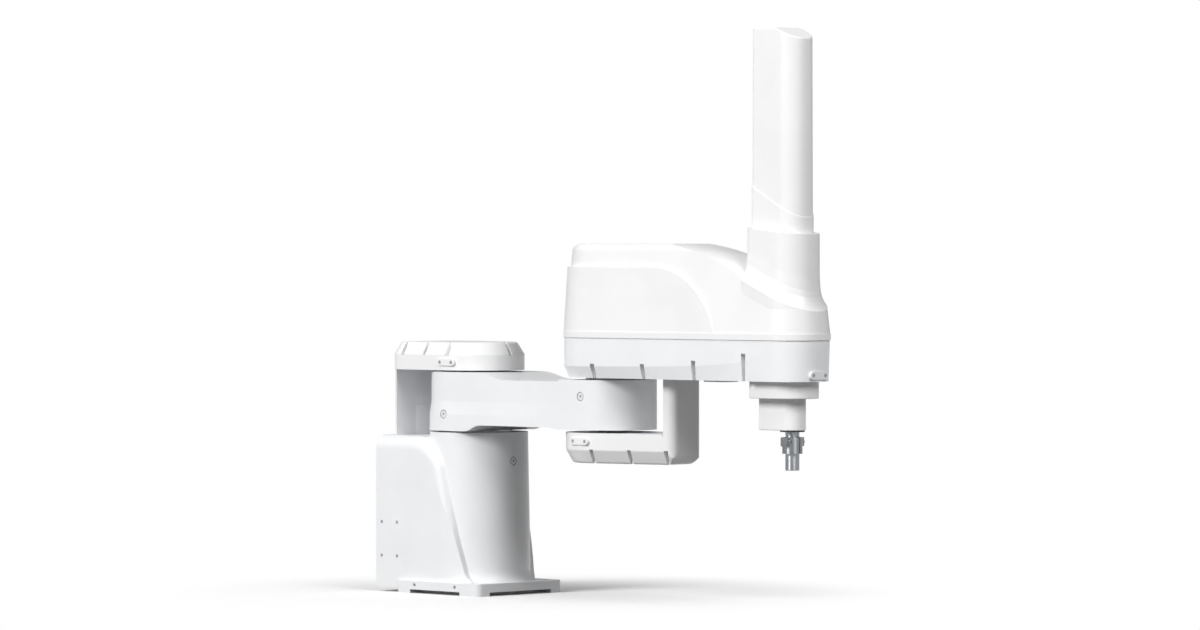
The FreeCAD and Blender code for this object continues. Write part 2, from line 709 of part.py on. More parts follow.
def index_screws(face_y, x_centre, z):
    """The two sunk screws of an index boss."""
    return [side_disc(BOSS_SCREW_R, x_centre + x, z, face_y + 0.8, BOSS_SCREW_DEPTH - 0.8)
            for x in (-BOSS_SCREW_PITCH / 2, BOSS_SCREW_PITCH / 2)]


def cap_notches():
    """Finger notches in the cap's bevel, on both sides and at the nose."""
    low, high = CAP_CREASE - 0.5, CAP_TOP + 1
    depth = CAP_BEVEL + NOTCH_INTO_BEVEL
    notches = []
    for x in CAP_NOTCH_X:
        notches += both_sides(block((x - NOTCH_WIDTH / 2, x + NOTCH_WIDTH / 2),
                                    (-CAP_R - 1, depth - CAP_R), (low, high)))
    nose = block((CAP_R - depth, CAP_R + 1), (-NOTCH_WIDTH / 2, NOTCH_WIDTH / 2), (low, high))
    return notches + [nose]


def j1_cap():
    """Cap over the first joint: a bevelled shell with finger notches and an index boss on each side."""
    levels = [(CAP_BOTTOM + CAP_FLOOR, 0.0), (CAP_CREASE, 0.0),
              (CAP_TOP - TOP_EDGE_DROP, CAP_BEVEL - TOP_EDGE_INSET), (CAP_TOP, CAP_BEVEL)]
    index = index_boss(BOSS_PROUD + CAP_WALL + 4)
    index.translate(V(0, -CAP_R - BOSS_PROUD, CAP_BOSS_Z))
    return shell_with_notches(cap_outline, levels, CAP_WALL, cap_notches(), both_sides(index))


def j1_index_screws():
    """Screws of the cap's two index bosses."""
    return Part.makeCompound([copy for screw in index_screws(-CAP_R - BOSS_PROUD, 0.0, CAP_BOSS_Z)
                              for copy in both_sides(screw)])


def riser_block(grow, low, high):
    """Rear slice of the cap's outline, which the cable riser fills."""
    rear_slice = block((-2 * CAP_REAR, RISER_DEPTH - CAP_REAR + grow), (-CAP_REAR, CAP_REAR), (low, high))
    return extruded(cap_outline(low, grow - RISER_INSET), V(0, 0, high - low)).common(rear_slice)


def cable_riser():
    """Hollow wall that carries the cables from the rear box up to the first joint's cap."""
    low = BOX_EDGE_Z + BOX_ROUND
    front = RISER_DEPTH - CAP_REAR
    foot_top = low + RISER_FOOT_HEIGHT
    foot = block((front, front + RISER_FOOT_DEPTH), (-RISER_FOOT_HALF, RISER_FOOT_HALF), (low, foot_top))
    foot = foot.cut(above_plane(front, foot_top, RISER_FOOT_SLOPE))
    return riser_block(0.0, low, CAP_BOTTOM).fuse(foot).cut(riser_block(-CAP_WALL, low - 1, CAP_BOTTOM + 1))


def j1_cap_floor():
    """Plate under the cap, carried by the riser, with the pipe that leads the cables into the link."""
    plate = extruded(cap_outline(CAP_BOTTOM, 0.0), V(0, 0, CAP_FLOOR))
    pipe_low = LINK_HUB_HIGH - PIPE_DIP
    plate = plate.fuse(disc(CABLE_PIPE_R, pipe_low, CAP_BOTTOM + 1)).cut(
        disc(CABLE_PIPE_R - CABLE_PIPE_WALL, pipe_low - 1, CAP_BOTTOM + CAP_FLOOR + 1))
    slot = block((CAP_WALL + RISER_INSET - CAP_REAR, RISER_DEPTH - CAP_REAR - CAP_WALL),
                 (-RISER_SLOT_HALF, RISER_SLOT_HALF), (CAP_BOTTOM - 1, CAP_BOTTOM + CAP_FLOOR + 1))
    return plate.cut(slot)


# Link

def ramp(x0, z0, x1, z1):
    """Edge that leaves one level and arrives at the next without a kink, in the XZ plane."""
    curve = Part.BezierCurve()
    middle = (x0 + x1) / 2
    curve.setPoles([V(x0, 0, z0), V(middle, 0, z0), V(middle, 0, z1), V(x1, 0, z1)])
    return curve.toShape()


def link_outer():
    """Solid outline of the link: two round ends and a beam that is thinner than both."""
    rear, front = -LINK_HUB_R - 1, ARM_1 + LINK_END_R + 1
    (top_a, top_b, top_c, top_d), (low_a, low_b, low_c, low_d) = LINK_TOP_RAMPS, LINK_LOW_RAMPS
    edges = [
        line(V(rear, 0, LINK_HUB_LOW), V(rear, 0, LINK_HUB_HIGH)),
        line(V(rear, 0, LINK_HUB_HIGH), V(top_a, 0, LINK_HUB_HIGH)),
        ramp(top_a, LINK_HUB_HIGH, top_b, LINK_MID_HIGH),
        line(V(top_b, 0, LINK_MID_HIGH), V(top_c, 0, LINK_MID_HIGH)),
        ramp(top_c, LINK_MID_HIGH, top_d, LINK_END_HIGH),
        line(V(top_d, 0, LINK_END_HIGH), V(front, 0, LINK_END_HIGH)),
        line(V(front, 0, LINK_END_HIGH), V(front, 0, LINK_END_LOW)),
        line(V(front, 0, LINK_END_LOW), V(low_d, 0, LINK_END_LOW)),
        ramp(low_d, LINK_END_LOW, low_c, LINK_MID_LOW),
        line(V(low_c, 0, LINK_MID_LOW), V(low_b, 0, LINK_MID_LOW)),
        ramp(low_b, LINK_MID_LOW, low_a, LINK_HUB_LOW),
        line(V(low_a, 0, LINK_HUB_LOW), V(rear, 0, LINK_HUB_LOW)),
    ]
    reach = LINK_HUB_R + 10
    profile = extruded(Part.Wire(edges), V(0, 2 * reach, 0))
    profile.translate(V(0, -reach, 0))
    slim_hub = LINK_HUB_R - LINK_SIDE_STEP
    levels = ((LINK_HUB_LOW - 1, LINK_HUB_R), (LINK_STEP_LOW, LINK_HUB_R), (LINK_STEP_HIGH, slim_hub),
              (LINK_HUB_HIGH + 1, slim_hub))
    plan = ruled([racetrack(0.0, hub_r, ARM_1, LINK_END_R, z) for z, hub_r in levels])
    return plan.common(profile)


def link_casting():
    """Hollow arm casting with cable ports, drive seats and plug seats."""
    shape = link_outer()
    room = extruded(racetrack(0.0, LINK_HUB_R - LINK_WALL, ARM_1, LINK_END_R - LINK_WALL, LINK_ROOM_LOW),
                    V(0, 0, LINK_ROOM_HIGH - LINK_ROOM_LOW))
    shape = shape.cut(room)
    shape = shape.cut(disc(LINK_PORT_R, LINK_ROOM_HIGH - 1, LINK_HUB_HIGH + 1))
    shape = shape.cut(disc(LINK_PORT_R, LINK_END_LOW - 1, LINK_ROOM_LOW + 1, ARM_1))
    shape = shape.cut(disc(OUTPUT_FLANGE_R + SEAT_GAP, LINK_HUB_LOW - 1, OUTPUT_HIGH))
    shape = shape.cut(disc(KNEE_FLANGE_R + SEAT_GAP, KNEE_FLANGE_LOW, LINK_END_HIGH + 1, ARM_1))
    for x, z, r in LINK_PLUGS:
        for seat in both_sides(side_disc(PLUG_R + PLUG_GAP, x, z, -r - 1, LINK_PLUG_DEPTH + 1)):
            shape = shape.cut(seat)
    return shape


def link_plugs():
    """Round plugs in the sides of both link ends, each with a small dimple."""
    plugs = []
    for x, z, r in LINK_PLUGS:
        plug = side_disc(PLUG_R, x, z, PLUG_SUNK - r, LINK_PLUG_DEPTH - PLUG_SUNK)
        dimple = side_disc(PLUG_DIMPLE_R, x, z, -r, PLUG_SUNK + PLUG_DIMPLE_DEPTH)
        plugs += both_sides(plug.cut(dimple))
    return Part.makeCompound(plugs)


def j1_output_flange():
    """Reducer output that the link is bolted to."""
    return disc(OUTPUT_FLANGE_R, OUTPUT_LOW + SEAT_GAP, OUTPUT_HIGH)


def j2_output_flange():
    """Reducer output on the link's far end, which the forearm turns about."""
    return disc(KNEE_FLANGE_R, KNEE_FLANGE_LOW, KNEE_FLANGE_HIGH - SEAT_GAP, ARM_1)


# Forearm, lower cap

def knee_outline(z, grow):
    """Plan of the lower cap: round about the second joint, narrowing to a flat front."""
    reach = math.hypot(KNEE_FRONT, KNEE_FRONT_HALF)
    lean = math.asin(KNEE_CAP_R / reach) - math.atan2(KNEE_FRONT_HALF, KNEE_FRONT)
    r = KNEE_CAP_R + grow
    front = KNEE_FRONT + grow
    half = KNEE_FRONT_HALF + grow * (1 - math.sin(lean)) / math.cos(lean)
    corner = max(KNEE_CORNER + grow, 1.0)
    back = corner * math.tan((math.pi / 2 - lean) / 2)
    touch = V(ARM_1 + r * math.sin(lean), r * math.cos(lean), z)
    turn_start = V(ARM_1 + front - back * math.cos(lean), half + back * math.sin(lean), z)
    turn_end = V(ARM_1 + front, half - back, z)
    centre = V(turn_start.x - corner * math.sin(lean), turn_start.y - corner * math.cos(lean), z)
    tip = V(ARM_1 + front, half, z)
    turn_mid = centre + (tip - centre).normalize() * corner

    def mirrored(p):
        return V(p.x, -p.y, p.z)

    edges = [
        arc(touch, V(ARM_1 - r, 0, z), mirrored(touch)),
        line(mirrored(touch), mirrored(turn_start)),
        arc(mirrored(turn_start), mirrored(turn_mid), mirrored(turn_end)),
        line(mirrored(turn_end), turn_end),
        arc(turn_end, turn_mid, turn_start),
        line(turn_start, touch),
    ]
    return Part.Wire(edges)


def knee_front_limits(grow=0.0):
    """Block that keeps the front of the lower cap's outline, where the riser stands."""
    rear = ARM_1 + KNEE_FRONT - KNEE_RISER_DEPTH
    return block((rear - grow, rear + 2 * KNEE_RISER_DEPTH), (-KNEE_CAP_R, KNEE_CAP_R),
                 (KNEE_BOTTOM - 1, TRAY_BOTTOM + 1))


def knee_notches():
    """Finger notches in the lower cap's bevel, square to its slanting sides."""
    reach = math.hypot(KNEE_FRONT, KNEE_FRONT_HALF)
    lean = math.asin(KNEE_CAP_R / reach) - math.atan2(KNEE_FRONT_HALF, KNEE_FRONT)
    notches = []
    for along in KNEE_NOTCH_ALONG:
        cut = block((along - NOTCH_WIDTH / 2, along + NOTCH_WIDTH / 2),
                    (-KNEE_CAP_R - 1, KNEE_BEVEL + NOTCH_INTO_BEVEL - KNEE_CAP_R),
                    (KNEE_BOTTOM - 1, KNEE_CREASE + 0.5))
        cut.rotate(V(0, 0, 0), V(0, 0, 1), math.degrees(lean))
        cut.translate(V(ARM_1, 0, 0))
        notches += both_sides(cut)
    return notches


def knee_cap():
    """Lower cap and cable riser in one moulding that turns with the forearm."""
    levels = [(KNEE_TOP - CAP_FLOOR, 0.0), (KNEE_CREASE, 0.0),
              (KNEE_BOTTOM + TOP_EDGE_DROP, KNEE_BEVEL - TOP_EDGE_INSET), (KNEE_BOTTOM, KNEE_BEVEL)]
    index = index_boss(BOSS_PROUD + KNEE_WALL + 4)
    index.translate(V(ARM_1, -KNEE_CAP_R - BOSS_PROUD, KNEE_BOSS_Z))
    tray = shell_with_notches(knee_outline, levels, KNEE_WALL, knee_notches(), both_sides(index))
    low = KNEE_TOP - CAP_FLOOR
    riser = extruded(knee_outline(low, 0.0), V(0, 0, TRAY_BOTTOM - low)).common(knee_front_limits())
    duct = extruded(knee_outline(low - 2, -KNEE_WALL), V(0, 0, TRAY_BOTTOM - low + 3)).common(
        knee_front_limits(-KNEE_WALL))
    return tray.fuse(riser).cut(duct)


def knee_floor():
    """Plate that closes the lower cap, with the pipe that leads the cables out of the link."""
    low = KNEE_TOP - CAP_FLOOR
    plate = extruded(knee_outline(low, 0.0), V(0, 0, CAP_FLOOR)).cut(knee_front_limits(SEAT_GAP))
    pipe_top = LINK_END_LOW + PIPE_DIP
    return plate.fuse(disc(CABLE_PIPE_R, KNEE_TOP - 1, pipe_top, ARM_1)).cut(
        disc(CABLE_PIPE_R - CABLE_PIPE_WALL, low - 1, pipe_top + 1, ARM_1))


def knee_index_screws():
    """Screws of the lower cap's two index bosses."""
    return Part.makeCompound([copy for screw in index_screws(-KNEE_CAP_R - BOSS_PROUD, ARM_1, KNEE_BOSS_Z)
                              for copy in both_sides(screw)])


# Forearm, tray

def share_along(x):
    """How far a place lies from the second joint towards the quill, from 0 to 1."""
    return (x - ARM_1) / ARM_2


def half_width(rear_r, front_r, x):
    """Half width of a racetrack outline of the forearm at one place along it."""
    lean = math.asin((rear_r - front_r) / ARM_2)
    return (rear_r + (front_r - rear_r) * share_along(x)) / math.cos(lean)


def forearm_outline(rear_r, front_r, z, grow=0.0):
    """Forearm plan with a radius about the second joint and one about the quill."""
    return racetrack(ARM_1, rear_r + grow, ARM_1 + ARM_2, front_r + grow, z)


def tray_notch_places():
    """Centre x, wall y, depth and top z of each notch in the tray's sides."""
    wall_rear, wall_front = LIP_REAR_R - LIP_PROUD, LIP_FRONT_R - LIP_PROUD
    places = []
    for x, share in zip(TRAY_NOTCH_X, TRAY_NOTCH_SHARE):
        wall = half_width(wall_rear, wall_front, x)
        base = half_width(TRAY_BASE_REAR_R, TRAY_BASE_FRONT_R, x)
        top = TRAY_BOTTOM + share * (TRAY_TOP - TRAY_BOTTOM)
        places.append((x, wall, wall - base + TRAY_NOTCH_DEPTH, top))
    return places


def forearm_tray():
    """Cast tray of the forearm: bevelled underside, notched sides, bosses and bearing seats."""
    wall_rear, wall_front = LIP_REAR_R - LIP_PROUD, LIP_FRONT_R - LIP_PROUD
    height = TRAY_TOP - TRAY_BOTTOM
    plan = extruded(forearm_outline(wall_rear, wall_front, TRAY_BOTTOM), V(0, 0, height))
    rear_growth = (wall_rear - TRAY_BASE_REAR_R) / BEVEL_SHARE_REAR
    front_growth = (wall_front - TRAY_BASE_FRONT_R) / BEVEL_SHARE_FRONT
    bevel = Part.makeLoft([
        forearm_outline(TRAY_BASE_REAR_R, TRAY_BASE_FRONT_R, TRAY_BOTTOM),
        forearm_outline(TRAY_BASE_REAR_R + rear_growth, TRAY_BASE_FRONT_R + front_growth, TRAY_TOP),
    ], True, True)
    outer = plan.common(bevel)

    room = extruded(forearm_outline(TRAY_BASE_REAR_R - TRAY_WALL, TRAY_BASE_FRONT_R - TRAY_WALL,
                                    TRAY_BOTTOM + TRAY_FLOOR), V(0, 0, height))
    bosses = []
    for x, y, depth, top in tray_notch_places():
        bosses += both_sides(disc(TRAY_BOSS_R, TRAY_BOTTOM, TRAY_TOP, x, depth - y))
    index = index_boss(BOSS_PROUD + TRAY_WALL + 6)
    index.rotate(V(0, 0, 0), V(0, 0, 1), 90)
    index.translate(V(nose_face_x(), 0, NOSE_BOSS_Z))
    tray = outer.cut(room.cut(bosses)).fuse(index)

    for x, y, depth, top in tray_notch_places():
        notch = block((x - TRAY_NOTCH_WIDTH / 2, x + TRAY_NOTCH_WIDTH / 2), (-y - 5, depth - y),
                      (TRAY_BOTTOM - 1, top))
        hole = disc(COVER_SCREW_R + SCREW_GAP, top - 1, TRAY_TOP + 1, x, COVER_SCREW_INSET - y)
        for cut in both_sides(notch) + both_sides(hole):
            tray = tray.cut(cut)
    low, high = TRAY_BOTTOM - 1, TRAY_BOTTOM + TRAY_FLOOR + 1
    tray = tray.cut(disc(KNEE_FLANGE_R + 2 * BEARING_WALL, low, high, ARM_1))
    tray = tray.cut(disc(SPLINE_BEARING_R + SEAT_GAP, low, high, ARM_1 + ARM_2))
    duct_front = ARM_1 + KNEE_FRONT - KNEE_WALL
    duct_half = DUCT_SHARE * (KNEE_FRONT_HALF - KNEE_WALL)
    duct_rear = ARM_1 + KNEE_FRONT - KNEE_RISER_DEPTH + KNEE_WALL
    return tray.cut(block((duct_rear, duct_front), (-duct_half, duct_half), (low, high)))


def nose_face_x():
    """Front of the tray's nose at the index boss, plus what the boss stands proud."""
    wall_front = LIP_FRONT_R - LIP_PROUD
    rise = (NOSE_BOSS_Z - TRAY_BOTTOM) / (BEVEL_SHARE_FRONT * (TRAY_TOP - TRAY_BOTTOM))
    return ARM_1 + ARM_2 + TRAY_BASE_FRONT_R + (wall_front - TRAY_BASE_FRONT_R) * rise + BOSS_PROUD * 0.5


def nose_index_screws():
    """Screws of the index boss at the tray's nose."""
    screws = []
    for y in (-BOSS_SCREW_PITCH / 2, BOSS_SCREW_PITCH / 2):
        screws.append(Part.makeCylinder(BOSS_SCREW_R, BOSS_SCREW_DEPTH - 0.8,
                                        V(nose_face_x() - BOSS_SCREW_DEPTH, y, NOSE_BOSS_Z), V(1, 0, 0)))
    return Part.makeCompound(screws)


def cover_screws():
    """Screws that rise from the tray's notches into the cover."""
    screws = []
    for x, y, depth, top in tray_notch_places():
        place = COVER_SCREW_INSET - y
        screw = disc(COVER_SCREW_R, top, TRAY_TOP + COVER_SCREW_REACH, x, place).fuse(
            disc(COVER_HEAD_R, top - COVER_HEAD_HEIGHT, top, x, place))
        screws += both_sides(screw)
    return Part.makeCompound(screws)


def under_pad():
    """Small pad on the forearm's underside."""
    pad = block((PAD_X - PAD_LENGTH / 2, PAD_X + PAD_LENGTH / 2), (-PAD_HALF, PAD_HALF),
                (TRAY_BOTTOM - PAD_THICK, TRAY_BOTTOM))
    upright = [edge for edge in pad.Edges if abs(edge.tangentAt(edge.FirstParameter).z) > 0.9]
    return pad.makeFillet(PAD_HALF * 0.3, upright)


# Forearm, cover

def side_walls(inset, low):
    """Leaning walls of the cover from nose to rear, rounded over to the top."""
    top = COVER_TOP - inset
    outlines = [forearm_outline(HUMP_LOW_R - inset, NOSE_LOW_R - inset, low)]
    for k in range(WALL_ROUND_STEPS + 1):
        angle = math.pi / 2 * k / WALL_ROUND_STEPS
        z = top - WALL_ROUND_HEIGHT * (1 - math.sin(angle))
        inward = inset + WALL_ROUND_DEPTH * (1 - math.cos(angle))
        outlines.append(forearm_outline(HUMP_HIGH_R - inward, NOSE_HIGH_R - inward, z))
    return ruled(outlines)


def cover_top_form(inset):
    """Everything under the cover's top, which falls towards the quill and crowns across it.

    The outline at the middle stays high up to the quill's collar, and the outline at the
    sides falls early, so the edge between top and side runs down in a slant to the nose.
    """
    front = ARM_1 + ARM_2 + LIP_FRONT_R + 10
    rear = ARM_1 - LIP_REAR_R - 10
    tip_z = CREASE_Z - CREASE_SLOPE * (front - ARM_1 - ARM_2)
    wires = []
    for y, points in ((-SIDE_CREASE_Y, SIDE_CREASE), (0.0, MIDDLE_CREASE), (SIDE_CREASE_Y, SIDE_CREASE)):
        curve = Part.BSplineCurve()
        places = [V(ARM_1 + x, y, z - inset) for x, z in points]
        curve.interpolate(places)
        first, last = places[0], places[-1]
        edges = [
            line(V(rear, y, TRAY_TOP - 20), V(rear, y, first.z)),
            line(V(rear, y, first.z), first),
            curve.toShape(),
            line(last, V(front, y, tip_z - inset)),
            line(V(front, y, tip_z - inset), V(front, y, TRAY_TOP - 20)),
            line(V(front, y, TRAY_TOP - 20), V(rear, y, TRAY_TOP - 20)),
        ]
        wires.append(Part.Wire(edges))
    middle = lofted(wires)
    sides = extruded(wires[0], V(0, -SIDE_CREASE_Y, 0))
    return union([middle, sides] + [sides.mirror(V(0, 0, 0), V(0, 1, 0))])


def side_panel(inset):
    """Flat-sided raised panel of the cover, which ends in a wide arc towards the nose."""
    low_front = PANEL_REAR_LOW_R - (HUMP_LOW_R - NOSE_LOW_R) - PANEL_LOW_SINK
    high_front = PANEL_REAR_HIGH_R - (HUMP_LOW_R - NOSE_LOW_R) - PANEL_HIGH_SINK
    panel = ruled([forearm_outline(PANEL_REAR_LOW_R - inset, low_front - inset, LIP_TOP - 1),
                   forearm_outline(PANEL_REAR_HIGH_R - inset, high_front - inset, PANEL_RIDGE_Z)])
    rear = ARM_1 - LIP_REAR_R - 10
    depth = PANEL_RIDGE_Z - LIP_TOP + 2
    end_x = PANEL_ARC_X + math.sqrt(PANEL_ARC_R ** 2 - (PANEL_ARC_R - depth) ** 2)
    half_depth = depth * 0.35
    mid_x = PANEL_ARC_X + math.sqrt(PANEL_ARC_R ** 2 - (PANEL_ARC_R - half_depth) ** 2)
    y = -LIP_REAR_R - 10
    low = PANEL_RIDGE_Z - depth
    edges = [
        line(V(rear, y, low), V(rear, y, PANEL_RIDGE_Z)),
        line(V(rear, y, PANEL_RIDGE_Z), V(PANEL_ARC_X, y, PANEL_RIDGE_Z)),
        arc(V(PANEL_ARC_X, y, PANEL_RIDGE_Z), V(mid_x, y, PANEL_RIDGE_Z - half_depth), V(end_x, y, low)),
        line(V(end_x, y, low), V(rear, y, low)),
    ]
    return panel.common(extruded(Part.Wire(edges), V(0, -2 * y, 0)))


def collar_form(grow):
    """Collar of the tall tube, flared at its foot along the slanting crease of the cover."""
    axis = ARM_1 + ARM_2
    outlines = []
    for height in (-FLARE_DEPTH,) + FLARE_LEVELS:
        out = FLARE_OUT * math.exp(-max(height, 0.0) / FLARE_FALL)
        outlines.append(u_outline(axis, COLLAR_R + out, COLLAR_REAR + FLARE_REAR_SHARE * out, COLLAR_CORNER,
                                  CREASE_Z + height, grow))
    flare = ruled(outlines)
    shear = FreeCAD.Matrix()
    shear.A31 = -CREASE_SLOPE
    shear.A34 = CREASE_SLOPE * axis
    return flare.transformGeometry(shear).cut(above_plane(axis, COLLAR_RIM_Z, COLLAR_RIM_SLOPE))


def upper_cover():
    """Moulded cover of the forearm with side panels, sloping top and the tube's collar."""
    axis = ARM_1 + ARM_2
    lip = extruded(forearm_outline(LIP_REAR_R, LIP_FRONT_R, TRAY_TOP), V(0, 0, LIP_TOP - TRAY_TOP))
    walls = side_walls(0.0, LIP_TOP - 1).common(cover_top_form(0.0))
    body = union([lip, walls, side_panel(0.0)])
    body = body.fuse(collar_form(0.0))

    room = side_walls(COVER_WALL, LIP_TOP).common(cover_top_form(COVER_WALL + 1.0))
    mouth = extruded(forearm_outline(LIP_REAR_R, LIP_FRONT_R, TRAY_TOP - 1, -LIP_FLANGE),
                     V(0, 0, LIP_TOP - TRAY_TOP + 6))
    well = u_prism(axis, COLLAR_R, COLLAR_REAR, COLLAR_CORNER, TRAY_TOP, TUBE_TOP, -COVER_WALL - 1)
    well = well.cut(above_plane(axis, COLLAR_RIM_Z - COLLAR_RIM, COLLAR_RIM_SLOPE))
    tube_hole = u_prism(axis, TUBE_R + TUBE_STEP, TUBE_REAR, TUBE_CORNER, TRAY_TOP, TUBE_TOP, SEAT_GAP)
    body = body.cut(room).cut(mouth).cut(well).cut(tube_hole)
    for x, y, depth, top in tray_notch_places():
        hole = disc(COVER_SCREW_R + SCREW_GAP, TRAY_TOP - 1, TRAY_TOP + COVER_SCREW_REACH + SCREW_GAP, x,
                    COVER_SCREW_INSET - y)
        for cut in both_sides(hole):
            body = body.cut(cut)
    return body


def tube_cover():
    """Tall tube over the retracted quill, with a slanting top and a flange under the collar's rim."""
    axis = ARM_1 + ARM_2
    upper = ruled([u_outline(axis, TUBE_R, TUBE_REAR, TUBE_CORNER, COLLAR_RIM_Z, 0.0),
                   u_outline(axis, TUBE_R - TUBE_TAPER, TUBE_REAR - TUBE_TAPER, TUBE_CORNER, TUBE_TOP, 0.0)])
    lower = u_prism(axis, TUBE_R + TUBE_STEP, TUBE_REAR, TUBE_CORNER, TUBE_LOW, TUBE_STEP_Z + TUBE_STEP_SPAN)
    lower = lower.cut(above_plane(axis - TUBE_R, TUBE_STEP_Z, TUBE_STEP_SPAN / (2 * TUBE_R)))
    slant = (TUBE_TOP - TUBE_FRONT_TOP) / (TUBE_SLANT_X + TUBE_R)
    upper = upper.cut(above_plane(axis - TUBE_SLANT_X, TUBE_TOP, slant))
    flange = u_prism(axis, COLLAR_R, COLLAR_REAR, COLLAR_CORNER, TUBE_LOW, COLLAR_RIM_Z + 20, -COVER_WALL - 2)
    rim_under = COLLAR_RIM_Z - COLLAR_RIM - SEAT_GAP
    flange = flange.cut(above_plane(axis, rim_under, COLLAR_RIM_SLOPE)).common(
        above_plane(axis, rim_under - 4, COLLAR_RIM_SLOPE))
    shape = union([upper, lower, flange])
    bore = u_prism(axis, TUBE_R, TUBE_REAR, TUBE_CORNER, TUBE_LOW - 1, TUBE_TOP - TUBE_WALL,
                   -TUBE_WALL - TUBE_TAPER)
    bore = bore.cut(above_plane(axis - TUBE_SLANT_X, TUBE_TOP - TUBE_WALL - 1, slant))
    return shape.cut(bore)


# Quill

def quill_housing_upper():
    """Housing under the tray that covers the spline nut's lower end."""
    axis = ARM_1 + ARM_2
    outer = u_prism(axis, HOUSING_R, HOUSING_REAR, HOUSING_CORNER, HOUSING_BOTTOM, TRAY_BOTTOM)
    inner = u_prism(axis, HOUSING_R, HOUSING_REAR, HOUSING_CORNER, HOUSING_BOTTOM + COVER_WALL,
                    TRAY_BOTTOM + 1, -COVER_WALL)
    return outer.cut(inner).cut(disc(SNOUT_R - COVER_WALL, HOUSING_BOTTOM - 1, TRAY_BOTTOM, axis))


def quill_housing_lower():
    """Narrow housing round the quill, with a flat back and a round nose."""
    axis = ARM_1 + ARM_2
    outer = u_prism(axis, SNOUT_R, SNOUT_REAR, SNOUT_CORNER, SNOUT_BOTTOM, HOUSING_BOTTOM)
    inner = u_prism(axis, SNOUT_R, SNOUT_REAR, SNOUT_CORNER, SNOUT_BOTTOM + COVER_WALL, HOUSING_BOTTOM + 1,
                    -COVER_WALL)
    return outer.cut(inner).cut(disc(SHAFT_R + 2.0, SNOUT_BOTTOM - 1, SNOUT_BOTTOM + COVER_WALL + 1, axis))


def quill_seal():
    """Wiper ring under the lower housing."""
    axis = ARM_1 + ARM_2
    return ring(SNOUT_R - 2.0, SHAFT_R + SEAT_GAP, SNOUT_BOTTOM - SEAL_HEIGHT, SNOUT_BOTTOM, axis)


def quill_bushing():
    """Bushing in the lower housing that the shaft slides through."""
    axis = ARM_1 + ARM_2
    return ring(SNOUT_R - COVER_WALL - RUNNING_GAP, SHAFT_R + RUNNING_GAP, SNOUT_BOTTOM + COVER_WALL,
                SNOUT_BOTTOM + COVER_WALL + BUSHING_HEIGHT, axis)


def quill_shaft():
    """Hollow spline shaft: plain at the tool end, grooved above it."""
    axis = ARM_1 + ARM_2
    shaft = ring(SHAFT_R, SHAFT_BORE_R, SHAFT_TIP_Z, SHAFT_TOP_Z, axis)
    for k in range(SPLINE_GROOVES):
        angle = 2 * math.pi * k / SPLINE_GROOVES
        shaft = shaft.cut(disc(SPLINE_GROOVE_R, SHAFT_TIP_Z + SHAFT_PLAIN, SHAFT_TOP_Z + 1,
                               axis + SHAFT_R * math.cos(angle), SHAFT_R * math.sin(angle)))
    relief_top = STOP_COLLAR_Z[0] - STOP_RING_HEIGHT
    relief = ring(SHAFT_R + 1, SHAFT_R - SHAFT_RELIEF, relief_top - SHAFT_RELIEF_WIDTH, relief_top, axis)
    return shaft.cut(relief)


def stop_collar():
    """Split clamp collar that stops the shaft's upward travel."""
    axis = ARM_1 + ARM_2
    low, high = STOP_COLLAR_Z
    collar = disc(STOP_COLLAR_R, low - STOP_RING_HEIGHT, high, axis)
    wings = block((axis - CLAMP_DEPTH, axis + CLAMP_DEPTH), (-CLAMP_HALF, CLAMP_HALF), (low, high))
    collar = collar.fuse(wings).cut(disc(SHAFT_R + CLAMP_GAP, low - STOP_RING_HEIGHT - 1, high + 1, axis))
    slit = block((axis, axis + STOP_COLLAR_R + 1), (-1.0, 1.0), (low - STOP_RING_HEIGHT - 1, high + 1))
    collar = collar.cut(slit)
    for y in (-CLAMP_SCREW_Y, CLAMP_SCREW_Y):
        collar = collar.cut(Part.makeCylinder(CLAMP_SCREW_R + SCREW_GAP, 4 * CLAMP_DEPTH,
                                              V(axis - 2 * CLAMP_DEPTH, y, (low + high) / 2), V(1, 0, 0)))
        collar = collar.cut(Part.makeCylinder(CLAMP_HEAD_R + SCREW_GAP, STOP_COLLAR_R,
                                              V(axis + CLAMP_DEPTH, y, (low + high) / 2), V(1, 0, 0)))
    return collar


def clamp_screws():
    """Screws through the stop collar's wings."""
    axis = ARM_1 + ARM_2
    middle = sum(STOP_COLLAR_Z) / 2
    screws = []
    for y in (-CLAMP_SCREW_Y, CLAMP_SCREW_Y):
        rear, front = V(axis - CLAMP_DEPTH, y, middle), V(axis + CLAMP_DEPTH, y, middle)
        shank = Part.makeCylinder(CLAMP_SCREW_R, 2 * CLAMP_DEPTH, rear, V(1, 0, 0))
        head = Part.makeCylinder(CLAMP_HEAD_R, CLAMP_HEAD_HEIGHT, front, V(1, 0, 0))
        screws.append(shank.fuse(head))
    return Part.makeCompound(screws)


def upper_stop():
    """Ring at the shaft's top that stops its downward travel."""
    axis = ARM_1 + ARM_2
    low = SHAFT_TOP_Z - UPPER_STOP_DROP
    return ring(STOP_COLLAR_R, SHAFT_R + CLAMP_GAP, low, low + UPPER_STOP_HEIGHT, axis)


# Forearm, drives

def j2_reducer():
    """Strain-wave reducer on the tray's floor, recessed for the link's output flange."""
    low = TRAY_BOTTOM + TRAY_FLOOR
    housing = disc(J2_REDUCER_R, low, J2_MOTOR_LOW, ARM_1)
    recess = disc(KNEE_FLANGE_R + BEARING_WALL, low - 1, KNEE_FLANGE_HIGH, ARM_1)
    shaft_room = disc(DRIVE_SHAFT_R + SEAT_GAP, J2_MOTOR_LOW - DRIVE_SHAFT_DEPTH - 2, J2_MOTOR_LOW + 1, ARM_1)
    return housing.cut(recess).cut(shaft_room)


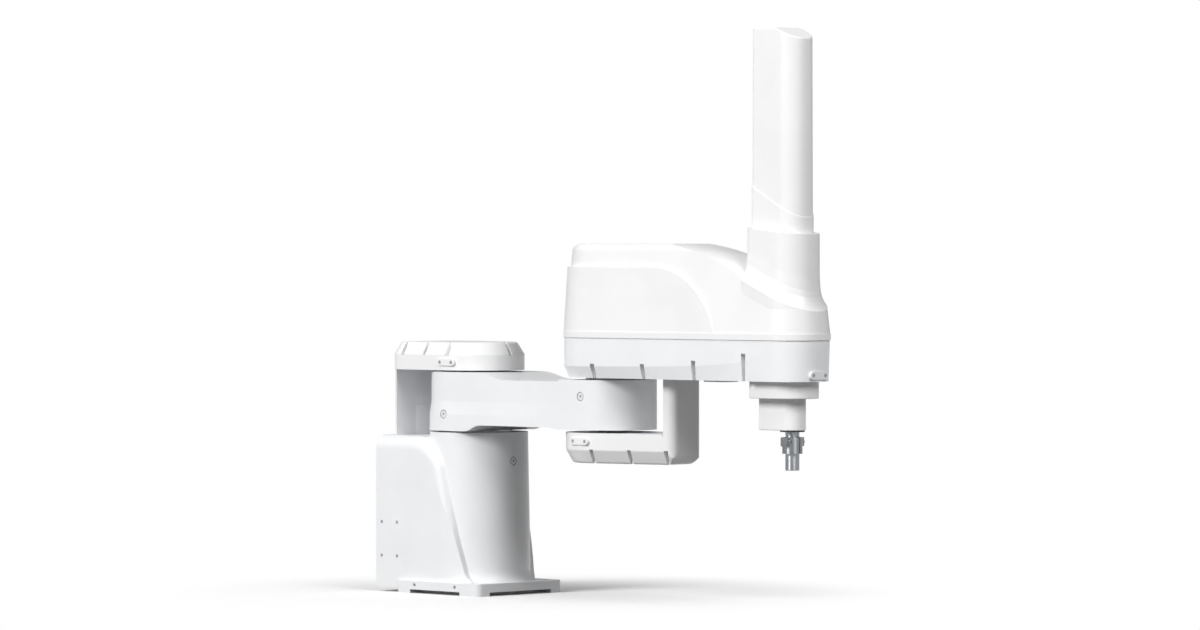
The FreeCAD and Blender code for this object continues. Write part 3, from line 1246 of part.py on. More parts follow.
def j2_bearing():
    """Outer ring of the crossed-roller bearing round the link's output flange."""
    low = TRAY_BOTTOM + TRAY_FLOOR
    return ring(KNEE_FLANGE_R + BEARING_WALL - RUNNING_GAP, KNEE_FLANGE_R + RUNNING_GAP, low,
                KNEE_FLANGE_HIGH, ARM_1)


def j2_motor():
    """Servo motor of the second joint, upright on its reducer."""
    return servo(ARM_1, J2_MOTOR_HALF, J2_MOTOR_LOW, J2_MOTOR_LOW + J2_MOTOR_LENGTH, ENCODER_HEIGHT,
                 J2_MOTOR_LOW - DRIVE_SHAFT_DEPTH, DRIVE_SHAFT_R)


def motor_stand(x, half, plate_low, leg_y):
    """Plate on two side walls that stands on the tray's floor, with a hole for a motor's pilot."""
    low = TRAY_BOTTOM + TRAY_FLOOR
    plate = block((x - half, x + half), (-leg_y, leg_y), (plate_low, plate_low + STAND_PLATE))
    legs = both_sides(block((x - half, x + half), (-leg_y, STAND_PLATE - leg_y), (low, plate_low + 1)))
    return union([plate] + legs).cut(disc(STAND_HOLE_R, plate_low - 1, plate_low + STAND_PLATE + 1, x))


def z_motor_stand():
    """Stand of the lift motor."""
    return motor_stand(Z_MOTOR_X, Z_MOTOR_HALF + STAND_RIM, Z_BELT_HIGH + STAND_CLEAR, Z_STAND_Y)


def theta_motor_stand():
    """Stand of the roll motor."""
    return motor_stand(THETA_MOTOR_X, THETA_MOTOR_HALF + STAND_RIM, THETA_BELT_HIGH + STAND_CLEAR,
                       THETA_STAND_Y)


def z_motor():
    """Servo motor that drives the ball nut."""
    low = Z_BELT_HIGH + STAND_CLEAR + STAND_PLATE
    return servo(Z_MOTOR_X, Z_MOTOR_HALF, low, low + Z_MOTOR_LENGTH, ENCODER_HEIGHT * 0.5, Z_BELT_LOW - 1,
                 MOTOR_SHAFT_R)


def theta_motor():
    """Servo motor that drives the spline nut."""
    low = THETA_BELT_HIGH + STAND_CLEAR + STAND_PLATE
    return servo(THETA_MOTOR_X, THETA_MOTOR_HALF, low, low + THETA_MOTOR_LENGTH, ENCODER_HEIGHT,
                 THETA_BELT_LOW - 1, MOTOR_SHAFT_R)


def pulley(x, radius, bore, low, high):
    """Belt pulley with a thin rim above and below the belt."""
    body = ring(radius, bore, low, high, x)
    rims = [ring(radius + PULLEY_RIM, bore, z, z + RIM_THICK, x) for z in (low, high - RIM_THICK)]
    return union([body] + rims)


def z_pulley():
    """Pulley on the ball nut."""
    return pulley(ARM_1 + ARM_2, NUT_PULLEY_R, NUT_R, Z_BELT_LOW, Z_BELT_HIGH)


def z_motor_pulley():
    """Pulley on the lift motor's shaft."""
    return pulley(Z_MOTOR_X, Z_MOTOR_PULLEY_R, MOTOR_SHAFT_R + RUNNING_GAP, Z_BELT_LOW, Z_BELT_HIGH)


def theta_pulley():
    """Pulley on the spline nut."""
    return pulley(ARM_1 + ARM_2, NUT_PULLEY_R, SHAFT_R + SEAT_GAP, THETA_BELT_LOW, THETA_BELT_HIGH)


def theta_motor_pulley():
    """Pulley on the roll motor's shaft."""
    return pulley(THETA_MOTOR_X, THETA_MOTOR_PULLEY_R, MOTOR_SHAFT_R + RUNNING_GAP, THETA_BELT_LOW,
                  THETA_BELT_HIGH)


def belt(x, motor_r, low, high):
    """Flat belt round a motor pulley and a nut pulley."""
    axis = ARM_1 + ARM_2
    inside = BELT_GAP
    outside = BELT_GAP + BELT_THICK
    outer = extruded(racetrack(x, motor_r + outside, axis, NUT_PULLEY_R + outside, low), V(0, 0, high - low))
    return outer.cut(extruded(racetrack(x, motor_r + inside, axis, NUT_PULLEY_R + inside, low - 1),
                              V(0, 0, high - low + 2)))


def z_belt():
    """Belt from the lift motor to the ball nut."""
    return belt(Z_MOTOR_X, Z_MOTOR_PULLEY_R, Z_BELT_LOW + BELT_EDGE, Z_BELT_HIGH - BELT_EDGE)


def theta_belt():
    """Belt from the roll motor to the spline nut."""
    return belt(THETA_MOTOR_X, THETA_MOTOR_PULLEY_R, THETA_BELT_LOW + BELT_EDGE, THETA_BELT_HIGH - BELT_EDGE)


def flanged_bearing(seat_z, depth):
    """Bearing unit that hangs through a hole and rests on its flange."""
    axis = ARM_1 + ARM_2
    body = disc(SPLINE_BEARING_R, seat_z - depth, seat_z + BEARING_FLANGE, axis)
    flange = disc(SPLINE_BEARING_R + BEARING_FLANGE_OUT, seat_z, seat_z + BEARING_FLANGE, axis)
    bore = disc(NUT_R + RUNNING_GAP, seat_z - depth - 1, seat_z + BEARING_FLANGE + 1, axis)
    return body.fuse(flange).cut(bore)


def spline_bearing():
    """Bearing of the spline nut in the tray's floor."""
    return flanged_bearing(TRAY_BOTTOM + TRAY_FLOOR, SPLINE_BEARING_DEPTH)


def ball_bearing():
    """Bearing of the ball nut in its raised carrier."""
    return flanged_bearing(CARRIER_TOP, CARRIER_PLATE)


def rotating_nut(low, seat_z, flange_top, top):
    """Nut that turns in a flanged bearing and carries a pulley on its own flange."""
    axis = ARM_1 + ARM_2
    body = disc(NUT_R, low, top, axis)
    flange = disc(NUT_R + NUT_FLANGE_OUT, seat_z + BEARING_FLANGE + SEAT_GAP, flange_top, axis)
    return body.fuse(flange).cut(disc(SHAFT_R + RUNNING_GAP, low - 1, top + 1, axis))


def spline_nut():
    """Nut whose balls run in the shaft's grooves, so it turns the shaft."""
    seat = TRAY_BOTTOM + TRAY_FLOOR
    return rotating_nut(seat - SPLINE_BEARING_DEPTH - 2, seat, THETA_BELT_LOW, THETA_BELT_LOW)


def ball_nut():
    """Nut that screws the shaft up and down."""
    return rotating_nut(CARRIER_TOP - CARRIER_PLATE - 2, CARRIER_TOP, Z_BELT_LOW, Z_BELT_HIGH + BALL_NUT_RISE)


def nut_carrier():
    """Plate on four posts that holds the ball nut's bearing above the spline nut's pulley."""
    axis = ARM_1 + ARM_2
    low = TRAY_BOTTOM + TRAY_FLOOR
    plate = disc(CARRIER_R, CARRIER_TOP - CARRIER_PLATE, CARRIER_TOP, axis)
    turns = [math.radians(angle) for angle in POST_ANGLES]
    posts = [disc(POST_R, low, CARRIER_TOP - CARRIER_PLATE + 1, axis + POST_RING * math.cos(turn),
                  POST_RING * math.sin(turn)) for turn in turns]
    return union([plate] + posts).cut(
        disc(SPLINE_BEARING_R + SEAT_GAP, CARRIER_TOP - CARRIER_PLATE - 1, CARRIER_TOP + 1, axis))


PARTS = {
    "base_casting": base_casting,
    "column_plug": column_plug,
    "side_screws": side_screws,
    "rear_panel": rear_panel,
    "power_connector": power_connector,
    "signal_connectors": signal_connectors,
    "air_fittings": air_fittings,
    "panel_screws": panel_screws,
    "j1_motor": j1_motor,
    "j1_reducer": j1_reducer,
    "j1_bearing": j1_bearing,
    "cable_riser": cable_riser,
    "j1_cap_floor": j1_cap_floor,
    "j1_cap": j1_cap,
    "j1_index_screws": j1_index_screws,
    "link_casting": link_casting,
    "link_plugs": link_plugs,
    "j1_output_flange": j1_output_flange,
    "j2_output_flange": j2_output_flange,
    "knee_cap": knee_cap,
    "knee_floor": knee_floor,
    "knee_index_screws": knee_index_screws,
    "forearm_tray": forearm_tray,
    "nose_index_screws": nose_index_screws,
    "cover_screws": cover_screws,
    "under_pad": under_pad,
    "upper_cover": upper_cover,
    "tube_cover": tube_cover,
    "quill_housing_upper": quill_housing_upper,
    "quill_housing_lower": quill_housing_lower,
    "quill_seal": quill_seal,
    "quill_bushing": quill_bushing,
    "quill_shaft": quill_shaft,
    "stop_collar": stop_collar,
    "clamp_screws": clamp_screws,
    "upper_stop": upper_stop,
    "j2_reducer": j2_reducer,
    "j2_bearing": j2_bearing,
    "j2_motor": j2_motor,
    "z_motor_stand": z_motor_stand,
    "theta_motor_stand": theta_motor_stand,
    "z_motor": z_motor,
    "theta_motor": theta_motor,
    "z_pulley": z_pulley,
    "z_motor_pulley": z_motor_pulley,
    "theta_pulley": theta_pulley,
    "theta_motor_pulley": theta_motor_pulley,
    "z_belt": z_belt,
    "theta_belt": theta_belt,
    "spline_bearing": spline_bearing,
    "ball_bearing": ball_bearing,
    "spline_nut": spline_nut,
    "ball_nut": ball_nut,
    "nut_carrier": nut_carrier,
}

os.makedirs("parts", exist_ok=True)
for name, build in PARTS.items():
    shape = build()
    shape.exportStep("parts/" + name + ".step")
    print(name, len(shape.Solids), shape.isValid(), round(shape.Volume / 1000.0, 1), "cm3")
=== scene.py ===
"""Scene of a tabletop scara robot arm: finishes, smooth outer pieces, soft studio light and camera.

Lengths in the classes are millimetres in the robot's own frame. The first joint's axis is the Z axis,
the floor is Z = 0 and the arm lies stretched out along +X.
"""
from __future__ import annotations

import json
import logging
import math
from dataclasses import dataclass, field
from enum import Enum
from typing import Callable, Sequence

import bmesh
import bpy
import numpy as np
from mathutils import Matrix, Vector

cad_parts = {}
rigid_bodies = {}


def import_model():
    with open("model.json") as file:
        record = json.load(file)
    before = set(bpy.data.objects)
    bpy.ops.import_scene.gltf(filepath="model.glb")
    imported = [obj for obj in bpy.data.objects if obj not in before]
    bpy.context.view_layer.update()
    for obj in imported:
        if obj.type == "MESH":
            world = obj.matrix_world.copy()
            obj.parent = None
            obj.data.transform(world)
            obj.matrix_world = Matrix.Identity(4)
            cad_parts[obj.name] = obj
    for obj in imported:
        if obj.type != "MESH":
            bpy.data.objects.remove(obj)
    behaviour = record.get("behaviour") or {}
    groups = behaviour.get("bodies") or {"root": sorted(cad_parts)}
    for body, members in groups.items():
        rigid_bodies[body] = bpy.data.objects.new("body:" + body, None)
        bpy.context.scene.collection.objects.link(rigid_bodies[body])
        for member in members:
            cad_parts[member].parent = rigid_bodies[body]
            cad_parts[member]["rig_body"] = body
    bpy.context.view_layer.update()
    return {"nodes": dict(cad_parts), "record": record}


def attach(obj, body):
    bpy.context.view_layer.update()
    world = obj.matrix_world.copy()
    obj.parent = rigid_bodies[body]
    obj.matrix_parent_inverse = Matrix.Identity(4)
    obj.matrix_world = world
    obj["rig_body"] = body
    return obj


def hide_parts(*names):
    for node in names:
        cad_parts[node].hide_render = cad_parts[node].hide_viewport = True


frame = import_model()
log = logging.getLogger("scara_scene")

MM = 0.001
Array = np.ndarray
Place = tuple[float, float, float]

# Points in millimetres of a closed surface, and its faces as rows of four point numbers.
Surface = tuple[Array, Array]

# Metres: the quill's axis, and the point that the lamps face.
QUILL_X = 0.8
ARM_MIDDLE = (0.35, 0.0, 0.4)

WHITE = (1.0, 1.0, 1.0, 1.0)

# Degrees: faces that meet at more than this keep a sharp edge.
SHARP_ANGLE = 34.0

# Metres: points of a skin that lie closer than this become one.
MERGE_REACH = 1e-6

# How far the rings of a lid have come from its edge to the spine.
LID_SHARES = (0.04, 0.25, 0.6, 1.0)

# Both caps: reach of the soft crease each way, and of the soft edge down the bevel and along the flat.
CREASE_SOFT = 1.5
EDGE_DROP = 3.5
EDGE_REACH = 4.0

# Height of the slanting sliver where a notch meets the upright wall.
NOTCH_LIP = 0.1

# Soft patches of tint are about 110 mm across, and smears of gloss about 30 mm.
PATCHES_PER_METRE = 9.0
SMEARS_PER_METRE = 34.0

# Height of the fine relief as a share of its size.
RELIEF_SHARE = 0.2

# Turn of an anisotropic highlight, as a share of a full turn.
QUARTER_TURN = 0.25


def linear(hex_colour: str) -> tuple[float, float, float, float]:
    """Turns an sRGB hex colour into linear light.

    Args:
        hex_colour: Six hex digits with a leading hash sign.

    Returns:
        Red, green and blue in linear light, and an alpha of 1.
    """
    parts = [int(hex_colour[i:i + 2], 16) / 255 for i in (1, 3, 5)]
    red, green, blue = [c / 12.92 if c <= 0.04045 else ((c + 0.055) / 1.055) ** 2.4 for c in parts]
    return (red, green, blue, 1.0)


def add_node(tree: bpy.types.NodeTree, kind: str, inputs: dict | None = None,
             **settings: object) -> bpy.types.Node:
    """Adds one node with values or links for its inputs, and its settings.

    Args:
        tree: Node tree that gets the node.
        kind: Blender's name of the node type, without the ShaderNode that it starts with.
        inputs: Input socket by name or number; an output socket, or a node for its first output, is
            linked, and anything else is a value.
        settings: Node properties.

    Returns:
        The new node.
    """
    node = tree.nodes.new("ShaderNode" + kind)
    for name, value in settings.items():
        setattr(node, name, value)
    for name, value in (inputs or {}).items():
        if isinstance(value, bpy.types.Node):
            value = value.outputs[0]
        if isinstance(value, bpy.types.NodeSocket):
            tree.links.new(value, node.inputs[name])
        else:
            node.inputs[name].default_value = value
    return node


def empty_tree(owner: bpy.types.Material | bpy.types.World) -> bpy.types.NodeTree:
    """Gives the node tree of a material or a world, with no node in it."""
    owner.use_nodes = True
    owner.node_tree.nodes.clear()
    return owner.node_tree


def add_object(name: str, data: bpy.types.ID) -> bpy.types.Object:
    """Adds an object with its mesh, lamp or camera to the scene."""
    added = bpy.data.objects.new(name, data)
    bpy.context.scene.collection.objects.link(added)
    return added


def aim(aimed: bpy.types.Object, place: Sequence[float], look: Vector) -> None:
    """Puts a camera or lamp at a place and turns its front, the -Z axis, along a direction."""
    aimed.location = place
    aimed.rotation_mode = "QUATERNION"
    aimed.rotation_quaternion = look.to_track_quat("-Z", "Y")


class Grain(Enum):
    """How a finish's fine relief runs: its scale along X, Y and Z, where a small one draws it out."""

    EVEN = (1.0, 1.0, 1.0)
    RINGS_ROUND_Z = (0.04, 0.04, 1.0)


@dataclass(frozen=True)
class Finish:
    """One real surface finish and what it gives the eye.

    Attributes:
        name: Common name of the material.
        slot: The record's material slot.
        colour: Main colour, sRGB hex.
        second: Colour that large soft patches drift towards, sRGB hex.
        roughness: Mean roughness.
        spread: How far the roughness varies from patch to patch.
        metallic: 1 for bare metal.
        coat: Weight of a clear gloss layer.
        grain_mm: Size of the fine relief, in millimetres.
        relief: Strength of that relief.
        grain: Direction of the relief.
        turned: How far tool marks round the quill's axis draw highlights out into upright bands.
    """

    name: str
    slot: str
    colour: str
    second: str
    roughness: float
    spread: float = 0.05
    metallic: float = 0.0
    coat: float = 0.0
    grain_mm: float = 1.0
    relief: float = 0.05
    grain: Grain = Grain.EVEN
    turned: float = 0.0

    def build(self) -> bpy.types.Material:
        """Builds the material on Object coordinates, so that it keeps its scale on every piece."""
        material = bpy.data.materials.new(self.name)
        tree = empty_tree(material)
        place = add_node(tree, "TexCoord").outputs["Object"]
        patches = add_node(tree, "TexNoise", {
            "Vector": place, "Scale": PATCHES_PER_METRE, "Detail": 3.0, "Roughness": 0.55})
        blend = add_node(tree, "MapRange", {"Value": patches, "From Min": 0.35, "From Max": 0.65})
        tint = add_node(tree, "MixRGB", {
            "Fac": blend, "Color1": linear(self.colour), "Color2": linear(self.second)})
        smear = add_node(tree, "TexNoise", {
            "Vector": place, "Scale": SMEARS_PER_METRE, "Detail": 4.0, "Roughness": 0.6})
        rough = add_node(tree, "MapRange", {
            "Value": smear, "From Min": 0.3, "From Max": 0.7,
            "To Min": self.roughness - self.spread, "To Max": self.roughness + self.spread})
        stretch = add_node(tree, "Mapping", {"Vector": place, "Scale": self.grain.value})
        relief = add_node(tree, "TexNoise", {
            "Vector": stretch, "Scale": 1.0 / (self.grain_mm * MM), "Detail": 2.0, "Roughness": 0.5})
        bump = add_node(tree, "Bump", {
            "Height": relief, "Strength": self.relief, "Distance": self.grain_mm * MM * RELIEF_SHARE})
        shader = add_node(tree, "BsdfPrincipled", {
            "Base Color": tint, "Roughness": rough, "Normal": bump, "Metallic": self.metallic,
            "Coat Weight": self.coat, "Coat Roughness": 0.12})
        if self.turned:
            self.draw_highlights(tree, place, shader)
        add_node(tree, "OutputMaterial", {"Surface": shader})
        material.diffuse_color = linear(self.colour)
        return material

    def draw_highlights(self, tree: bpy.types.NodeTree, place: bpy.types.NodeSocket,
                        shader: bpy.types.Node) -> None:
        """Turns the highlights across the tool marks, whose direction is (place - axis) x Z.

        Args:
            tree: Node tree of the material.
            place: Output with the Object coordinates.
            shader: The principled shader.
        """
        spoke = add_node(tree, "VectorMath", {0: place, 1: (QUILL_X, 0.0, 0.0)}, operation="SUBTRACT")
        marks = add_node(tree, "VectorMath", {0: spoke, 1: (0.0, 0.0, 1.0)}, operation="CROSS_PRODUCT")
        turn = add_node(tree, "VectorTransform", {"Vector": marks}, vector_type="VECTOR",
                        convert_from="OBJECT", convert_to="WORLD")
        tree.links.new(turn.outputs["Vector"], shader.inputs["Tangent"])
        shader.inputs["Anisotropic"].default_value = self.turned
        shader.inputs["Anisotropic Rotation"].default_value = QUARTER_TURN


FINISHES = (
    # Wet-sprayed polyurethane enamel on sand-cast aluminium: near white, semi-gloss, with faint orange peel.
    Finish("semi_gloss_enamel", "painted_casting", "#F1F2F3", "#EDEEF0", 0.36, 0.04, coat=0.12,
           grain_mm=2.6),
    # Injection-moulded ABS with a light spark-eroded grain: slightly warmer white and a softer gloss.
    Finish("moulded_abs", "moulded_cover", "#F2F2F2", "#EEEEEF", 0.32, 0.04, coat=0.10, grain_mm=1.1,
           relief=0.04),
    # Zinc-plated steel screws: bright grey, a little uneven.
    Finish("zinc_plated_steel", "cover_screw_steel", "#B9BCC0", "#A3A6AA", 0.34, 0.08, metallic=1.0,
           grain_mm=0.5, relief=0.10),
    # Satin polyamide plugs pressed into the castings.
    Finish("satin_polyamide", "white_plug", "#E8E9EA", "#E2E3E4", 0.5, grain_mm=0.7),
    # Induction-hardened spline shaft, ground round: fine rings across its length.
    Finish("ground_bearing_steel", "ground_shaft", "#BCBFC2", "#A6A9AD", 0.36, 0.04, metallic=1.0,
           grain_mm=0.9, grain=Grain.RINGS_ROUND_Z, turned=0.9),
    # Turned steel clamp collar: a little darker, with tool marks round it.
    Finish("turned_steel", "clamp_steel", "#A9ACAF", "#909396", 0.38, metallic=1.0, grain_mm=0.8,
           relief=0.07, grain=Grain.RINGS_ROUND_Z, turned=0.9),
    # Milled aluminium of the inner carriers and pulleys: pale grey, with cutter marks.
    Finish("milled_aluminium", "inner_aluminium", "#C3C6C9", "#B5B8BB", 0.38, 0.06, metallic=1.0,
           grain_mm=1.2, relief=0.10),
    # Black powder coat on the motors: dull, with a fine pebble grain.
    Finish("black_powder_coat", "motor_black", "#1C1D1F", "#232427", 0.55, 0.06, grain_mm=0.8,
           relief=0.2),
    # Through-hardened bearing steel, ground: glossier, with fine rings.
    Finish("bearing_steel", "bearing_steel", "#BFC2C5", "#ADB0B4", 0.26, metallic=1.0, grain_mm=0.7,
           relief=0.08, grain=Grain.RINGS_ROUND_Z),
    # Cast polyurethane belt: dull black.
    Finish("belt_polyurethane", "belt_rubber", "#1A1A1A", "#222222", 0.6, relief=0.2),
    # Moulded nitrile rubber of the wiper lip: dull, near black. The dark rings round the plugs take it too;
    # they are painted shade in the plugs' grooves.
    Finish("nitrile_rubber", "seal_rubber", "#242425", "#2B2B2C", 0.55, grain_mm=0.8, relief=0.1),
    # Moulded glass-filled polyamide of the connector shells: black, with a slight sheen.
    Finish("glass_filled_polyamide", "connector_black", "#202122", "#2A2B2C", 0.48, 0.06, grain_mm=0.6,
           relief=0.12),
    # Nickel-plated brass push-in fittings: pale gold, smooth.
    Finish("nickel_plated_brass", "fitting_brass", "#CDBE93", "#BFB085", 0.28, 0.06, metallic=1.0,
           grain_mm=0.6),
)


def quads(rows: int, count: int, closes: bool) -> Array:
    """Joins rows of points, numbered in order, with four-sided faces.

    Face (k, j) joins points j and j + 1 of row k to the same points of row k + 1, with the last
    point of a row joined to its first.

    Args:
        rows: Number of rows.
        count: Number of points in each.
        closes: True where the last row is joined to the first.

    Returns:
        Faces as rows of four point numbers.
    """
    number = np.arange(rows * count).reshape(rows, count)
    low = number if closes else number[:-1]
    high = np.roll(number, -1, axis=0) if closes else number[1:]
    faces = np.stack([low, np.roll(low, -1, axis=1), np.roll(high, -1, axis=1), high], axis=-1)
    return faces.reshape(-1, 4)


@dataclass(frozen=True)
class Arc:
    """Round stretch of a plan outline, run anticlockwise.

    Attributes:
        x: Centre along X.
        y: Centre along Y.
        radius: Radius.
        start: First angle in radians.
        end: Last angle in radians.
        pieces: Number of short chords that draw it.
    """

    x: float
    y: float
    radius: float
    start: float
    end: float
    pieces: int = 18

    def at(self, angles: Array) -> Array:
        """Gives points, centre + radius * (cos, sin) of each angle."""
        return np.stack([self.x + self.radius * np.cos(angles),
                         self.y + self.radius * np.sin(angles)], axis=1)


@dataclass(frozen=True)
class Outline:
    """Closed plan curve: points in order, their outward normals, and the spine that a lid closes onto.

    Attributes:
        points: Array of (n, 2) places.
        normals: Array of (n, 2) unit vectors.
        spine: Lowest and highest X of the spine, which lies on Y = 0.
    """

    points: Array
    normals: Array
    spine: tuple[float, float]

    @property
    def x(self) -> Array:
        """Gives X of every point."""
        return self.points[:, 0]

    def beside(self, centres: Sequence[float], width: float) -> Array:
        """Tells of every point whether its X lies in a stretch of this width round one of the centres."""
        return np.min(np.abs(self.x[:, None] - np.array(centres)), axis=1) < width / 2

    def inset(self, depth: float | Array) -> Array:
        """Moves the curve inwards: point - normal * depth, with one depth or one for each point."""
        return self.points - self.normals * np.reshape(depth, (-1, 1))

    def gathered(self, depth: float, share: float) -> Array:
        """Moves the inset curve towards the spine: inset * (1 - share) + nearest spine point * share."""
        ring = self.inset(depth)
        near = np.stack([np.clip(ring[:, 0], *self.spine), np.zeros(len(ring))], axis=1)
        return ring * (1 - share) + near * share

    def round_hole(self, x: float, radius: float) -> Array:
        """Places each point on a circle, at its own bearing from the circle's centre."""
        away = self.points - np.array([x, 0.0])
        return np.array([x, 0.0]) + radius * away / np.linalg.norm(away, axis=1, keepdims=True)


def chain(arcs: Sequence[Arc], spine: tuple[float, float], marks: Sequence[float] = (),
          turns: Sequence[float] = ()) -> Outline:
    """Joins arcs with straight stretches into a closed outline.

    A round stretch is centre + radius * (cos t, sin t) with normal (cos t, sin t). A straight
    stretch is start + share * (end - start), and keeps the normal of the arcs that it joins.

    Args:
        arcs: Arcs in anticlockwise order, each ending at the angle where the next starts.
        spine: Lowest and highest X of the spine for lids.
        marks: X of extra points on the straight stretches.
        turns: Angles of extra points on the arcs, in radians.

    Returns:
        The outline.
    """
    step, least_run = 6.0, 1.0
    points, normals = [], []
    wanted, extra_turns = np.asarray(marks, float), np.asarray(turns, float)
    for arc, following in zip(arcs, list(arcs[1:]) + [arcs[0]]):
        inner = extra_turns[(extra_turns > arc.start) & (extra_turns < arc.end)]
        angles = np.sort(np.concatenate([np.linspace(arc.start, arc.end, arc.pieces + 1), inner]))
        points.append(arc.at(angles))
        normals.append(np.stack([np.cos(angles), np.sin(angles)], axis=1))
        first, last = points[-1][-1], following.at(np.array([following.start]))[0]
        run = last - first
        share = np.linspace(0, 1, max(2, int(np.linalg.norm(run) / step) + 1))[1:-1]
        if abs(run[0]) > least_run:
            extra = (wanted - first[0]) / run[0]
            share = np.sort(np.concatenate([share, extra[(extra > 0) & (extra < 1)]]))
        points.append(first + share[:, None] * run)
        normals.append(np.repeat(normals[-1][-1:], len(share), axis=0))
    return Outline(np.concatenate(points), np.concatenate(normals), spine)


def mirrored(half: Sequence[Arc]) -> list[Arc]:
    """Adds to the arcs of the half with Y above 0, in order, those of the other half."""
    return list(half) + [Arc(arc.x, -arc.y, arc.radius, math.tau - arc.end, math.tau - arc.start, arc.pieces)
                         for arc in reversed(half)]


def nosed(axis: float, radius: float, rear: float, corner: float, marks: Sequence[float] = (),
          turns: Sequence[float] = ()) -> Outline:
    """Makes an outline with a half-round nose towards +X and a flat back with round corners.

    Args:
        axis: X of the nose's centre.
        radius: Radius of the nose, half the width.
        rear: Distance from the axis to the flat back.
        corner: Radius of the two back corners.
        marks: X of extra points on the sides.
        turns: Angles of extra points on the nose.

    Returns:
        The outline.
    """
    quarter = math.pi / 2
    nose = Arc(axis, 0.0, radius, -quarter, quarter, pieces=40)
    back = Arc(axis - rear + corner, radius - corner, corner, quarter, math.pi, pieces=10)
    return chain([nose] + mirrored([back]), (axis - rear + radius, axis), marks, turns)


def bend(start: tuple[float, float], corner: tuple[float, float], end: tuple[float, float],
         pieces: int = 5) -> list[tuple[float, float]]:
    """Rounds one corner of a section.

    The curve is (1 - t)^2 * start + 2 t (1 - t) * corner + t^2 * end for t from 0 to 1.

    Args:
        start: Inset and height where the curve leaves the first line.
        corner: Inset and height of the sharp corner.
        end: Inset and height where it meets the second line.
        pieces: Number of chords.

    Returns:
        Inset and height of each point.
    """
    t = np.linspace(0, 1, pieces + 1)[:, None]
    curve = (1 - t) ** 2 * np.array(start) + 2 * t * (1 - t) * np.array(corner) + t ** 2 * np.array(end)
    return [(float(inset), float(height)) for inset, height in curve]


def notch_edges(centres: Sequence[float], width: float) -> list[float]:
    """Gives X just outside and just inside both edges of each notch, so that its walls stand upright."""
    sliver = 0.02
    return [centre + side * (width / 2 + away) for centre in centres for side in (-1, 1)
            for away in (-sliver, sliver)]


@dataclass
class Skin:
    """Closed surface made by carrying a section round an outline.

    Ring k is a plan curve at a height, and neighbouring rings are joined by four-sided faces.
    The rings run so that the outside lies to the right of the way from one ring to the next.

    Attributes:
        outline: Plan curve that the rings are inset from.
        closes: True where the last ring joins the first, as on a tube.
        rings: Plan curve and height of each ring; a height is one number or one for each point.
    """

    outline: Outline
    closes: bool = False
    rings: list[tuple[Array, float | Array]] = field(default_factory=list)

    def add(self, *section: tuple[float | Array, float | Array]) -> None:
        """Adds a ring for each point of a section, given as its inset and its height."""
        self.rings += [(self.outline.inset(depth), height) for depth, height in section]

    def lid(self, depth: float, height: float | Callable[[Array], Array], opening: bool = False) -> None:
        """Adds the rings of a lid that reaches to the spine.

        Args:
            depth: Inset of the lid's edge.
            height: Height of a flat lid, or the function that gives the height at X.
            opening: True for the lid that the skin starts with, which runs from the spine outwards.
        """
        for share in reversed(LID_SHARES) if opening else LID_SHARES:
            ring = self.outline.gathered(depth, share)
            self.rings.append((ring, height(ring[:, 0]) if callable(height) else height))

    def block(self, low: float, high: float) -> Skin:
        """Makes an upright block between two heights and gives it back."""
        self.lid(0.0, low, opening=True)
        self.add((0.0, low), (0.0, high))
        self.lid(0.0, high)
        return self

    def arrays(self) -> Surface:
        """Computes the points, (plan x, plan y, height) of ring k and outline point j, and the faces."""
        count = len(self.rings[0][0])
        places = np.stack([np.column_stack([plan, np.broadcast_to(height, count)])
                           for plan, height in self.rings])
        return places.reshape(-1, 3), quads(len(places), count, self.closes)


@dataclass
class Workshop:
    """Holds the finished materials and the robot's CAD nodes, and makes and dresses pieces.

    Attributes:
        materials: Built material of each slot.
        slots: The record's material slot of each CAD node.
    """

    materials: dict[str, bpy.types.Material] = field(default_factory=dict)
    slots: dict[str, str] = field(default_factory=dict)

    def __post_init__(self) -> None:
        """Builds every finish once and reads the slot of each node."""
        for finish in FINISHES:
            self.materials[finish.slot] = finish.build()
        for row in frame["record"]["subparts"]:
            self.slots[row["node"]] = row["material_slot"]

    def dress(self, piece: bpy.types.Object, slot: str) -> None:
        """Gives a piece one finish.

        Args:
            piece: Object with a mesh.
            slot: The record's material slot.
        """
        piece.data.materials.clear()
        piece.data.materials.append(self.materials[slot])

    def dress_node(self, name: str) -> None:
        """Gives a CAD node the finish of its slot."""
        self.dress(frame["nodes"][name], self.slots[name])
        log.info("%s keeps its solid, in %s", name, self.slots[name])

    def skin_piece(self, name: str, node: str, parts: Sequence[Surface], slot: str = "") -> None:
        """Makes a piece from worked-out surfaces, which takes a CAD node's place or is fitted to it.

        Args:
            name: Name of the piece.
            node: CAD node that it replaces, which gives body and slot, or that it is fitted to.
            parts: Closed surfaces that make up the piece.
            slot: Slot of a piece that is fitted to the node and replaces nothing.
        """
        starts = np.cumsum([0] + [len(points) for points, faces in parts])
        points = np.concatenate([points for points, faces in parts]) * MM
        faces = np.concatenate([faces + start for (_, faces), start in zip(parts, starts)])
        mesh = bpy.data.meshes.new(name)
        mesh.from_pydata(points.tolist(), [], faces.tolist())
        work = bmesh.new()
        work.from_mesh(mesh)
        bmesh.ops.remove_doubles(work, verts=work.verts, dist=MERGE_REACH)
        work.to_mesh(mesh)
        work.free()
        mesh.shade_smooth()
        mesh.set_sharp_from_angle(angle=math.radians(SHARP_ANGLE))
        piece = add_object(name, mesh)
        flatten = piece.modifiers.new("even_flats", "WEIGHTED_NORMAL")
        flatten.keep_sharp = True
        self.dress(piece, slot or self.slots[node])
        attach(piece, frame["nodes"][node]["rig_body"])
        if not slot:
            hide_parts(node)
        log.info("%s goes with %s, %d faces", name, node, len(mesh.polygons))


